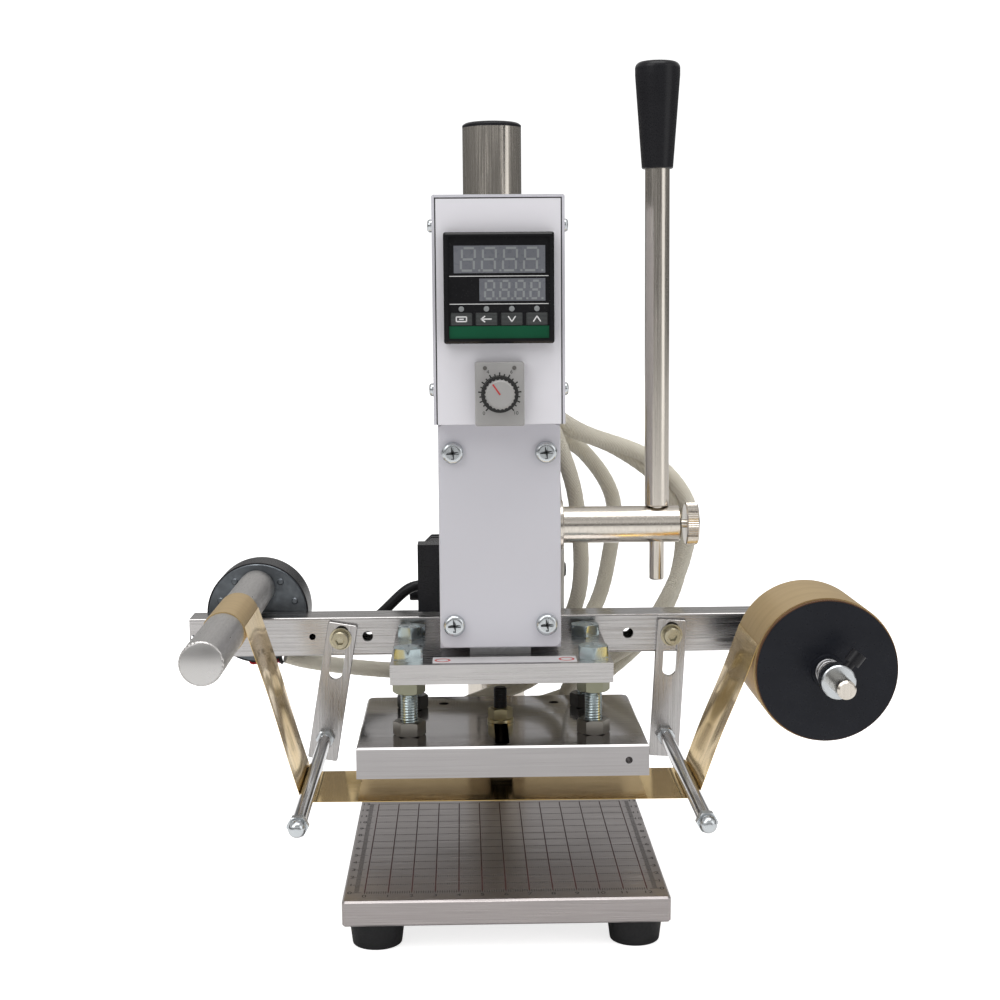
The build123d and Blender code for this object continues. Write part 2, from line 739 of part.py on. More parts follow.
ram_screw = socket_screw(3, 3.2, 1.65, 14, 2.5)
with BuildPart() as ram_screws:
    with Locations([facing(x, y, plate_bottom + 4, (0, 0, -1)) for x, y in plate_screw_at]):
        add(ram_screw)
ram_screws.part.label = "ram_screws"
export_step(ram_screws.part, "parts/ram_screws.step")

with BuildPart() as hex_bolt:
    with Locations((0, 0, plate_top)):
        add(hex_blank(13, 5.3, 0.6))
    with BuildSketch(level(plate_top - bolt_len)):
        Circle(4)
    extrude(amount=bolt_len)
    chamfer(hex_bolt.edges().group_by(Axis.Z)[0], 0.8)
with BuildPart() as hex_bolts:
    with Locations([(x, y, 0) for x, y in bolts_at]):
        add(hex_bolt.part)
hex_bolts.part.label = "hex_bolts"
export_step(hex_bolts.part, "parts/hex_bolts.step")

plate_nut = hex_nut(13, 6.5, 4.05)
with BuildPart() as plate_nuts:
    with Locations([(x, y, z) for x, y in bolts_at for z in (heat_top, plate_bottom - 6.5)]):
        add(plate_nut)
plate_nuts.part.label = "plate_nuts"
export_step(plate_nuts.part, "parts/plate_nuts.step")

heater_x, heater_r, heater_len = 16, 4, 86
heat_mid_z = (heat_bottom + heat_top) / 2
probe_x, probe_r, probe_len = 33, 2.5, 30
slot_w, slot_end = 6.4, -46
head_groove_w, head_groove_d, head_groove_back = 10.6, 4.6, 2.2

with BuildPart() as heating_plate:
    with BuildSketch(level(heat_bottom)):
        Rectangle(2 * heat_half_w, 2 * heat_half_d)
    extrude(amount=heat_top - heat_bottom)
    rear_corners = heating_plate.edges().filter_by(Axis.Z).group_by(Axis.Y)[-1]
    fillet(rear_corners, 4)
    chamfer(heating_plate.edges().group_by(Axis.Z)[-1], 0.8)
    with BuildSketch(level(heat_top)):
        with Locations(bolts_at):
            Circle(4.05)
        with Locations((-27, 34), (27, 34)):
            Circle(2.5)
    extrude(amount=-10, mode=Mode.SUBTRACT)
    # slot of the die clamp, with a wider groove beneath for the head of its bolt
    with BuildSketch(level(heat_bottom)):
        with Locations((0, slot_end / 2)):
            SlotCenterToCenter(-slot_end - slot_w, slot_w, rotation=90)
    extrude(amount=heat_top - heat_bottom, mode=Mode.SUBTRACT)
    with BuildSketch(level(heat_bottom)):
        with Locations((0, (slot_end + head_groove_back) / 2)):
            RectangleRounded(head_groove_w, head_groove_back - slot_end + 0.6, 1)
    extrude(amount=head_groove_d, mode=Mode.SUBTRACT)
    with BuildSketch(front(heat_half_d)):
        with Locations((-heater_x, heat_mid_z), (heater_x, heat_mid_z)):
            Circle(heater_r + SEAT / 2)
    extrude(amount=heater_len, mode=Mode.SUBTRACT)
    with BuildSketch(front(heat_half_d)):
        with Locations((probe_x, heat_mid_z)):
            Circle(probe_r + SEAT / 2)
    extrude(amount=18, mode=Mode.SUBTRACT)
    with BuildSketch(front(-heat_half_d)):
        with Locations((heat_half_w - 9, heat_mid_z)):
            Circle(1.6)
    extrude(amount=-8, mode=Mode.SUBTRACT)
heating_plate.part.label = "heating_plate"
export_step(heating_plate.part, "parts/heating_plate.step")

with BuildPart() as heater_cartridges:
    with BuildSketch(front(heat_half_d + 3)):
        with Locations((-heater_x, heat_mid_z), (heater_x, heat_mid_z)):
            Circle(heater_r)
    extrude(amount=heater_len + 2)
heater_cartridges.part.label = "heater_cartridges"
export_step(heater_cartridges.part, "parts/heater_cartridges.step")

with BuildPart() as temperature_probe:
    with BuildSketch(front(heat_half_d + 4)):
        with Locations((probe_x, heat_mid_z)):
            Circle(probe_r)
    extrude(amount=21)
temperature_probe.part.label = "temperature_probe"
export_step(temperature_probe.part, "parts/temperature_probe.step")

# Bolt, washer and nut that pull the die holder against the heating plate.
die_bolt_y = -3.2
die_hex = hex_nut(10, 5, 3.05)
with BuildPart() as die_clamp:
    with BuildSketch(level(heat_bottom + 0.4)):
        with Locations((0, die_bolt_y)):
            Rectangle(10, 10)
    extrude(amount=4)
    with BuildSketch(level(heat_bottom + 0.4)):
        with Locations((0, die_bolt_y)):
            Circle(3)
    extrude(amount=30)
    chamfer(die_clamp.edges().group_by(Axis.Z)[-1], 0.6)
    with Locations((0, die_bolt_y, heat_top + SEAT)):
        add(ring(6.2, 3.1, 1.4))
    with Locations((0, die_bolt_y, heat_top + SEAT + 1.5)):
        add(die_hex)
die_clamp.part.label = "die_clamp"
export_step(die_clamp.part, "parts/die_clamp.step")


# ---------------------------------------------------------------- foil bar, arms and guide rods
bar_front, bar_back = plate_back, plate_back + bar_size
pivots = {"left": arm_left_x, "right": arm_right_x}
shaft_hole_z = reel_z
motor_screw_x = 29

with BuildPart() as foil_bar:
    with BuildSketch(side(-bar_half_len)):
        with Locations((bar_front + bar_size / 2, bar_mid_z)):
            RectangleRounded(bar_size, bar_size, 1)
            Rectangle(bar_size - 2 * bar_wall, bar_size - 2 * bar_wall, mode=Mode.SUBTRACT)
    extrude(amount=2 * bar_half_len)
    with BuildSketch(front(bar_back)):
        with Locations((-bar_screw_x, plate_mid_z), (bar_screw_x, plate_mid_z)):
            Circle(2.1)
        with Locations((-64, bar_mid_z), (64, bar_mid_z)):
            Circle(2.6)
        with Locations((roller_x - motor_screw_x, bar_mid_z), (roller_x + motor_screw_x, bar_mid_z)):
            Circle(1.6)
        with Locations((reel_x, reel_z)):
            Circle(spindle_r + 0.02)
    extrude(amount=bar_size, mode=Mode.SUBTRACT)
    with BuildSketch(front(bar_back)):
        with Locations([(x, arm_pivot_z) for x in pivots.values()]):
            Circle(2.6)
    extrude(amount=bar_size, mode=Mode.SUBTRACT)
foil_bar.part.label = "foil_bar"
export_step(foil_bar.part, "parts/foil_bar.step")

bar_screw = pan_screw(3.8, 2.6, 2, bar_size + 11)
motor_screw = pan_screw(3, 2, 1.5, 9)
spindle_nut = hex_nut(13, 5, spindle_r + 0.02)
with BuildPart() as bar_fixings:
    with Locations([facing(x, bar_back, plate_mid_z, (0, 1, 0)) for x in (-bar_screw_x, bar_screw_x)]):
        add(bar_screw)
    with Locations([facing(x, bar_back + 3, bar_mid_z, (0, 1, 0))
                    for x in (roller_x - motor_screw_x, roller_x + motor_screw_x)]):
        add(motor_screw)
    with Locations(facing(reel_x, bar_front - SEAT / 2, reel_z, (0, -1, 0)),
                   facing(reel_x, bar_back + SEAT / 2, reel_z, (0, 1, 0))):
        add(spindle_nut)
bar_fixings.part.label = "bar_fixings"
export_step(bar_fixings.part, "parts/bar_fixings.step")

arm_back = bar_front - SEAT
arm_front = arm_back - arm_t
arm_bolt = socket_screw(4.25, 5, 2.5, 1 + arm_t + SEAT + bar_size + 5, 4)
arm_washer = ring(5.4, 2.6, 1 - SEAT)
arm_nut = hex_nut(8, 4, 2.55)
with BuildPart() as arm_bolts:
    with Locations([facing(x, arm_front - 1, arm_pivot_z, (0, -1, 0)) for x in pivots.values()]):
        add(arm_bolt)
    with Locations([facing(x, arm_front - SEAT / 2, arm_pivot_z, (0, -1, 0)) for x in pivots.values()]):
        add(arm_washer)
    with Locations([facing(x, bar_back + SEAT, arm_pivot_z, (0, 1, 0)) for x in pivots.values()]):
        add(arm_nut)
arm_bolts.part.label = "arm_bolts"
export_step(arm_bolts.part, "parts/arm_bolts.step")


def upright_arm():
    """Slotted arm hanging straight down from its pivot at x = z = 0, at its place in depth."""
    with BuildPart() as arm:
        with BuildSketch(front(arm_back)):
            with Locations((0, arm_above - (arm_above + arm_drop + arm_below) / 2)):
                RectangleRounded(arm_w, arm_above + arm_drop + arm_below, 1)
            with Locations((0, -7)):
                SlotCenterToCenter(20.6, 6.6, rotation=90, mode=Mode.SUBTRACT)
            with Locations((0, -arm_drop)):
                Circle(2.6, mode=Mode.SUBTRACT)
        extrude(amount=arm_t)
        chamfer(arm.faces().sort_by(Axis.Y)[0].outer_wire().edges(), 0.25)
    return arm.part


def guide_rod():
    """Chrome rod at x = z = 0 with a thinner threaded end through the arm and one at the front."""
    with BuildPart() as rod:
        with BuildSketch(front(arm_front - 4 - SEAT)):
            Circle(rod_r)
        extrude(amount=arm_front - 4 - SEAT - rod_front)
        with BuildSketch(front(arm_back + 6)):
            Circle(2.5)
        extrude(amount=arm_back + 6 - rod_front + 5)
    return rod.part


def rod_nuts():
    """The nuts at x = z = 0 before and behind the arm, and the domed one on the rod's front end."""
    plain = hex_nut(8, 4, 2.55)
    with BuildPart() as nuts:
        with Locations(facing(0, arm_front - SEAT / 2, 0, (0, -1, 0)), facing(0, arm_back + SEAT / 2, 0, (0, 1, 0))):
            add(plain)
        with Locations(facing(0, rod_front - SEAT / 2, 0, (0, -1, 0))):
            add(hex_blank(8, 4, 0.4))
        with BuildSketch(front(rod_front - SEAT / 2 - 4)):
            Circle(3.6)
        extrude(amount=5.5)
        fillet(nuts.edges().group_by(Axis.Y)[0], 3)
        with BuildSketch(front(rod_front)):
            Circle(2.55)
        extrude(amount=5.2, mode=Mode.SUBTRACT)
    return nuts.part


hung = {}
for name, tilt in (("left", arm_left_tilt), ("right", arm_right_tilt)):
    # A positive turn about +Y swings the foot of a hanging piece to the left.
    turn = -tilt
    foot_x_now = pivots[name] - arm_drop * sin(radians(turn))
    foot_z_now = arm_pivot_z - arm_drop * cos(radians(turn))
    hung[name] = (Location((pivots[name], 0, arm_pivot_z), (0, turn, 0)), Location((foot_x_now, 0, foot_z_now)))

arm_left = upright_arm().moved(hung["left"][0])
arm_left.label = "arm_left"
export_step(arm_left, "parts/arm_left.step")

arm_right = upright_arm().moved(hung["right"][0])
arm_right.label = "arm_right"
export_step(arm_right, "parts/arm_right.step")

rod_left = guide_rod().moved(hung["left"][1])
rod_left.label = "rod_left"
export_step(rod_left, "parts/rod_left.step")

rod_right = guide_rod().moved(hung["right"][1])
rod_right.label = "rod_right"
export_step(rod_right, "parts/rod_right.step")

rod_nuts_left = rod_nuts().moved(hung["left"][1])
rod_nuts_left.label = "rod_nuts_left"
export_step(rod_nuts_left, "parts/rod_nuts_left.step")

rod_nuts_right = rod_nuts().moved(hung["right"][1])
rod_nuts_right.label = "rod_nuts_right"
export_step(rod_nuts_right, "parts/rod_nuts_right.step")


# ---------------------------------------------------------------- take-up motor and roller
motor_z = roller_z - motor_offset
with BuildPart() as takeup_motor:
    with BuildSketch(front(motor_back)):
        with Locations((roller_x, motor_z)):
            Circle(motor_r)
    extrude(amount=motor_back - motor_front)
    chamfer(takeup_motor.edges().filter_by(GeomType.CIRCLE), 0.8)
    with BuildSketch(front(bar_back + 3)):
        with Locations((roller_x, bar_mid_z)):
            SlotCenterToCenter(2 * motor_screw_x, 9)
        with Locations((roller_x - motor_screw_x, bar_mid_z), (roller_x + motor_screw_x, bar_mid_z)):
            Circle(1.6, mode=Mode.SUBTRACT)
        with Locations((roller_x, roller_z)):
            Circle(6)
    extrude(amount=3 - SEAT)
    with BuildSketch(front(motor_front - 2)):
        with Locations((roller_x, roller_z)):
            Circle(3 + RUN)
    extrude(amount=-12, mode=Mode.SUBTRACT)
takeup_motor.part.label = "takeup_motor"
export_step(takeup_motor.part, "parts/takeup_motor.step")

roller_end = bar_back - 0.5
with BuildPart() as takeup_roller:
    with BuildSketch(front(roller_end)):
        with Locations((roller_x, roller_z)):
            Circle(roller_r)
    extrude(amount=roller_end - roller_front)
    chamfer(takeup_roller.edges().filter_by(GeomType.CIRCLE), 0.5)
    with BuildSketch(front(motor_front + 9)):
        with Locations((roller_x, roller_z)):
            Circle(3)
    extrude(amount=motor_front + 9 - roller_end)
takeup_roller.part.label = "takeup_roller"
export_step(takeup_roller.part, "parts/takeup_roller.step")


# ---------------------------------------------------------------- supply reel on its spindle
spindle_front = -106
collar_front, collar_t = -91, 8
with BuildPart() as supply_spindle:
    with BuildSketch(front(bar_back + 8)):
        with Locations((reel_x, reel_z)):
            Circle(spindle_r)
    extrude(amount=bar_back + 8 - spindle_front)
    chamfer(supply_spindle.edges().group_by(Axis.Y)[0], 0.8)
supply_spindle.part.label = "supply_spindle"
export_step(supply_spindle.part, "parts/supply_spindle.step")

core_r, core_wall = 14, 2
with BuildPart() as foil_roll:
    with BuildSketch(front(foil_back)):
        with Locations((reel_x, reel_z)):
            Circle(roll_r)
            Circle(core_r + SEAT / 2, mode=Mode.SUBTRACT)
            Circle(core_r)
            Circle(core_r - core_wall, mode=Mode.SUBTRACT)
    extrude(amount=foil_back - foil_front)
foil_roll.part.label = "foil_roll"
export_step(foil_roll.part, "parts/foil_roll.step")

hub_out_r = core_r - core_wall - RUN
foil_mid = (foil_front + foil_back) / 2
with BuildPart() as reel_flanges:
    for outer_y, inner_y, stop_y in ((foil_front - 3, foil_front - RUN, foil_mid - SEAT),
                                     (foil_back + 3, foil_back + RUN, foil_mid + SEAT)):
        with BuildSketch(front(outer_y)):
            with Locations((reel_x, reel_z)):
                Circle(flange_r)
                Circle(spindle_r + RUN, mode=Mode.SUBTRACT)
        extrude(amount=outer_y - inner_y)
        with BuildSketch(front(outer_y)):
            with Locations((reel_x, reel_z)):
                Circle(hub_out_r)
                Circle(spindle_r + RUN, mode=Mode.SUBTRACT)
        extrude(amount=outer_y - stop_y)
reel_flanges.part.label = "reel_flanges"
export_step(reel_flanges.part, "parts/reel_flanges.step")

reel_front = foil_front - 3
brake = coil(0.6, 5.2, reel_front - SEAT - (collar_front + collar_t) - SEAT, 3.5)
with BuildPart() as brake_spring:
    with Locations(facing(reel_x, reel_front - SEAT, reel_z, (0, -1, 0))):
        add(brake)
brake_spring.part.label = "brake_spring"
export_step(brake_spring.part, "parts/brake_spring.step")

collar_turn = 38                               # degrees from upright to the collar screw, to the right
with BuildPart() as stop_collar:
    with BuildSketch(front(collar_front + collar_t)):
        with Locations((reel_x, reel_z)):
            Circle(7.3)
            Circle(spindle_r + 0.02, mode=Mode.SUBTRACT)
    extrude(amount=collar_t)
    chamfer(stop_collar.edges().filter_by(GeomType.CIRCLE).group_by(SortBy.RADIUS)[-1], 0.5)
    screw_dir = (sin(radians(collar_turn)), 0, cos(radians(collar_turn)))
    collar_mid = collar_front + collar_t / 2
    with BuildSketch(facing(reel_x, collar_mid, reel_z, screw_dir)):
        Circle(2)
    extrude(amount=10, mode=Mode.SUBTRACT)
stop_collar.part.label = "stop_collar"
export_step(stop_collar.part, "parts/stop_collar.step")

with BuildPart() as collar_screw:
    with BuildSketch(facing(reel_x + 4.2 * screw_dir[0], collar_mid, reel_z + 4.2 * screw_dir[2], screw_dir)):
        Circle(1.95)
    extrude(amount=6)
    with BuildSketch(facing(reel_x + 9.5 * screw_dir[0], collar_mid, reel_z + 9.5 * screw_dir[2], screw_dir)):
        Circle(3.6)
    extrude(amount=5.5)
collar_screw.part.label = "collar_screw"
export_step(collar_screw.part, "parts/collar_screw.step")

# Foil: off the top left of the roll, under both guide rods and up to the right side of the roller.
left_rod = (hung["left"][1].position.X, hung["left"][1].position.Z)
right_rod = (hung["right"][1].position.X, hung["right"][1].position.Z)
web_r = rod_r + SEAT + foil_t / 2
roll_web_r = roll_r + SEAT + foil_t / 2
roller_web_r = roller_r + SEAT + foil_t / 2
down_a, down_b = tangent_line((roller_x, roller_z), roller_web_r, left_rod, -web_r)
flat_a, flat_b = tangent_line(left_rod, -web_r, right_rod, -web_r)
up_a, up_b = tangent_line(right_rod, -web_r, (reel_x, reel_z), roll_web_r)


def outside(centre, a, b, radius):
    """Point on the circle half way round the shorter arc from a to b."""
    mx, mz = (a[0] + b[0]) / 2 - centre[0], (a[1] + b[1]) / 2 - centre[1]
    return centre[0] + radius * mx / hypot(mx, mz), centre[1] + radius * mz / hypot(mx, mz)


with BuildPart() as foil_web:
    with BuildSketch(front(foil_back)):
        with BuildLine() as web_line:
            Line(down_a, down_b)
            ThreePointArc(down_b, outside(left_rod, down_b, flat_a, web_r), flat_a)
            Line(flat_a, flat_b)
            ThreePointArc(flat_b, outside(right_rod, flat_b, up_a, web_r), up_a)
            Line(up_a, up_b)
        trace(line_width=foil_t)
    extrude(amount=foil_back - foil_front)
foil_web.part.label = "foil_web"
export_step(foil_web.part, "parts/foil_web.step")


# ---------------------------------------------------------------- lever, hub and pinion
base_r = pitch_r * cos(radians(20))
tip_r = pitch_r + rack_module
pinion_root_r = pitch_r - 1.25 * rack_module
flank_steps = 6


def involute(angle):
    """Involute function of a pressure angle in radians."""
    return tan(angle) - angle


def tooth_half_angle(radius):
    """Half the angle a pinion tooth spans at a radius, thinned by half the backlash."""
    pressure = acos(base_r / radius)
    at_pitch = pi / (2 * pinion_teeth) - backlash / (4 * pitch_r)
    return at_pitch + involute(radians(20)) - involute(pressure)


def polar(radius, angle):
    """Point at an angle from the local +X axis."""
    return radius * cos(angle), radius * sin(angle)


flank_radii = [base_r + (tip_r - base_r) * step / flank_steps for step in range(flank_steps + 1)]
upper_flank = [polar(r, tooth_half_angle(r)) for r in flank_radii]
lower_flank = [polar(r, -tooth_half_angle(r)) for r in reversed(flank_radii)]
root_half_angle = tooth_half_angle(base_r)

with BuildSketch() as tooth:
    with BuildLine():
        Line(polar(pinion_root_r - 1, root_half_angle), upper_flank[0])
        Spline(*upper_flank)
        Line(upper_flank[-1], lower_flank[0])
        Spline(*lower_flank)
        Line(lower_flank[-1], polar(pinion_root_r - 1, -root_half_angle))
        Line(polar(pinion_root_r - 1, -root_half_angle), polar(pinion_root_r - 1, root_half_angle))
    make_face()

with BuildPart() as pinion_shaft:
    with BuildSketch(side(-body_half_w)):
        with Locations((pinion_y, pinion_z)):
            Circle(shaft_r)
    extrude(amount=body_half_w + hub_start + 18)
    with BuildSketch(facing(-pinion_half_w, pinion_y, pinion_z, (1, 0, 0))):
        Circle(pinion_root_r)
        with PolarLocations(0, pinion_teeth):
            add(tooth.sketch)
    extrude(amount=2 * pinion_half_w)
pinion_shaft.part.label = "pinion_shaft"
export_step(pinion_shaft.part, "parts/pinion_shaft.step")

with BuildPart() as lever_hub:
    with BuildSketch(side(body_half_w + 1)):
        with Locations((pinion_y, pinion_z)):
            Circle(12)
    extrude(amount=hub_start - body_half_w - 1)
    chamfer(lever_hub.edges(), 0.4)
    with BuildSketch(side(hub_start)):
        with Locations((pinion_y, pinion_z)):
            Circle(hub_r)
    extrude(amount=hub_end - hub_start)
    chamfer(lever_hub.edges().group_by(Axis.X)[-1], 0.8)
    with BuildSketch(side(body_half_w + 1)):
        with Locations((pinion_y, pinion_z)):
            Circle(shaft_r + SEAT / 2)
    extrude(amount=hub_start + 19 - body_half_w - 1, mode=Mode.SUBTRACT)
    with BuildSketch(level(pinion_z - hub_r)):
        with Locations((lever_x, pinion_y)):
            Circle(lever_thin_r + RUN)
    extrude(amount=2 * hub_r, mode=Mode.SUBTRACT)
    with BuildSketch(side(hub_end)):
        with Locations((pinion_y, pinion_z)):
            Circle(2 + RUN)
    extrude(amount=lever_x - hub_end, mode=Mode.SUBTRACT)
lever_hub.part.label = "lever_hub"
export_step(lever_hub.part, "parts/lever_hub.step")

shoulder_z = pinion_z + hub_r + SEAT
with BuildPart() as lever_rod:
    with BuildSketch(level(shoulder_z)):
        with Locations((lever_x, pinion_y)):
            Circle(lever_r)
    extrude(amount=lever_top - shoulder_z)
    chamfer(lever_rod.edges().group_by(Axis.Z)[0], 0.5)
    with BuildSketch(level(lever_bottom)):
        with Locations((lever_x, pinion_y)):
            Circle(lever_thin_r)
    extrude(amount=shoulder_z - lever_bottom)
    chamfer(lever_rod.edges().group_by(Axis.Z)[0], 0.5)
    with BuildSketch(level(lever_top)):
        with Locations((lever_x, pinion_y)):
            Circle(4)
    extrude(amount=16)
lever_rod.part.label = "lever_rod"
export_step(lever_rod.part, "parts/lever_rod.step")

with BuildPart() as lever_grip:
    with BuildSketch(level(lever_top + RUN)):
        with Locations((lever_x, pinion_y)):
            Circle(grip_bottom_r)
    with BuildSketch(level(lever_top + grip_h - 6)):
        with Locations((lever_x, pinion_y)):
            Circle(grip_top_r)
    loft()
    with BuildSketch(level(lever_top + grip_h - 6)):
        with Locations((lever_x, pinion_y)):
            Circle(grip_top_r)
    extrude(amount=6)
    fillet(lever_grip.edges().group_by(Axis.Z)[-1], 3)
    fillet(lever_grip.edges().group_by(Axis.Z)[0], 0.8)
    with BuildSketch(level(lever_top)):
        with Locations((lever_x, pinion_y)):
            Circle(4 + RUN)
    extrude(amount=17, mode=Mode.SUBTRACT)
lever_grip.part.label = "lever_grip"
export_step(lever_grip.part, "parts/lever_grip.step")

knob_start, knob_end = 89.5, 95.5
with BuildPart() as lock_knob:
    with BuildSketch(side(lever_x + lever_thin_r + SEAT)):
        with Locations((pinion_y, pinion_z)):
            Circle(2)
    extrude(amount=knob_end - lever_x - lever_thin_r - SEAT)
    with BuildSketch(side(knob_start)):
        with Locations((pinion_y, pinion_z)):
            Circle(10.15)
    extrude(amount=knob_end - knob_start)
    chamfer(lock_knob.edges().filter_by(GeomType.CIRCLE).group_by(SortBy.RADIUS)[-1], 0.6)
lock_knob.part.label = "lock_knob"
export_step(lock_knob.part, "parts/lock_knob.step")


# ---------------------------------------------------------------- insulated leads
# Fibreglass sleeves carry the heater, probe and motor leads from the box floor to the plate.
sleeve_r = 3.3
lead_ends_y = heat_half_d + 4
box_exit_z = box_bottom - 1
heater_lead_outer = bent_tube(
    sleeve_r,
    [(24, 64, box_exit_z), (25, 64, 184), (70, 72, 172), (97, 78, 130), (88, 80, 80), (40, 74, 48),
     (heater_x, 68, heat_mid_z), (heater_x, lead_ends_y, heat_mid_z)], 7)
heater_lead_inner = bent_tube(
    sleeve_r,
    [(16, 64, box_exit_z), (16, 65, 181), (60, 92, 162), (66, 94, 110), (40, 84, 66), (-8, 72, 48),
     (-heater_x, 68, heat_mid_z), (-heater_x, lead_ends_y, heat_mid_z)], 6)
probe_lead = bent_tube(
    1.3,
    [(27, 60, box_exit_z), (31, 62, 90), (probe_x, 62, heat_mid_z), (probe_x, heat_half_d + 5, heat_mid_z)], 4)
motor_lead = bent_tube(
    3,
    [(roller_x + 8, motor_back - 5, motor_z - motor_r - 1), (-108, 76, 52), (-56, 70, 48), (-10, 72, 66),
     (34, 76, 84), (48, 72, 120), (40, 56, 176), (22, 50, 186), (22, 50, box_exit_z)], 3.5)
lead_sleeves = Compound([lead.solid() for lead in (heater_lead_outer, heater_lead_inner, probe_lead, motor_lead)])
lead_sleeves.label = "lead_sleeves"
export_step(lead_sleeves, "parts/lead_sleeves.step")
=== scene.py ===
"""Hot foil stamper: looks, built around the fixed CAD frame. Metres, +Z up, the operator on the -Y side."""
import json
import math

import bmesh
import bpy
from mathutils import Euler, Matrix, Vector

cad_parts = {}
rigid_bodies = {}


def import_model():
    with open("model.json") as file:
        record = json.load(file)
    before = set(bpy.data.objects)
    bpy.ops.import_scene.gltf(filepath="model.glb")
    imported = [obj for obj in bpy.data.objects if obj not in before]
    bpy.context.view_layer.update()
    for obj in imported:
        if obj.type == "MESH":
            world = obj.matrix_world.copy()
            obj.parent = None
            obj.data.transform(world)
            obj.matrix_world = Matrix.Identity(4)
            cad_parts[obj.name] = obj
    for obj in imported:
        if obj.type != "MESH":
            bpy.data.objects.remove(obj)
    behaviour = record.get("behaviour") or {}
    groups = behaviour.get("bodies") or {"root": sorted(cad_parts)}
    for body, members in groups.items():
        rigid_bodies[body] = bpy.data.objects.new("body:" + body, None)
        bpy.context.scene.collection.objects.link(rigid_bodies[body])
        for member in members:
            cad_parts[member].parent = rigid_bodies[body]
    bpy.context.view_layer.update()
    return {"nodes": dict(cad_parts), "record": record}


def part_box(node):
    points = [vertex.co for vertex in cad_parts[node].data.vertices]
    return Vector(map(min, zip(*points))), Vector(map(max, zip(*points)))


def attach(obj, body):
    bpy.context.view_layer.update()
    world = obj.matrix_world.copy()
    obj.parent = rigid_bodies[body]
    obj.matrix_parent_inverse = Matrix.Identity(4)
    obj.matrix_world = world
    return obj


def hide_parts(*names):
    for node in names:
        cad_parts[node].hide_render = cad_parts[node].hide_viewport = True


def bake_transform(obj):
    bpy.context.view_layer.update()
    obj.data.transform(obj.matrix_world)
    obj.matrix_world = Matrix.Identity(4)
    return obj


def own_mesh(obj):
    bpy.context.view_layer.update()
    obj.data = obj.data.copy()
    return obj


for leftover in list(bpy.data.objects):
    bpy.data.objects.remove(leftover)
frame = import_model()
nodes = frame["nodes"]
MM = 0.001
TO_FRONT, TO_BACK, TO_RIGHT, TO_TOP = (0, -1, 0), (0, 1, 0), (1, 0, 0), (0, 0, 1)


# ---------------------------------------------------------------- measures read from the frame
def low(node):
    """Lowest corner of a CAD node."""
    return Vector(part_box(node)[0])


def high(node):
    """Highest corner of a CAD node."""
    return Vector(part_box(node)[1])


def middle(node):
    """Middle of a CAD node's box."""
    return (low(node) + high(node)) / 2


table_lo, table_hi = low("base_plate"), high("base_plate")
plate_lo, plate_hi = low("upper_plate"), high("upper_plate")
heat_top = high("heating_plate").z
roller_mid, roller_r = middle("takeup_roller"), 9 * MM
reel_mid = middle("foil_roll")
reel_r = (high("foil_roll").z - low("foil_roll").z) / 2
foil_front, foil_back = low("foil_web").y, high("foil_web").y
rod_left, rod_right = middle("rod_left"), middle("rod_right")
rod_r = (high("rod_left").z - low("rod_left").z) / 2
stud_bottom = heat_top + 6.6 * MM               # where the die clamp's stud leaves its nut


# ---------------------------------------------------------------- node helpers for materials
mats = {}                                       # every material by its plain name


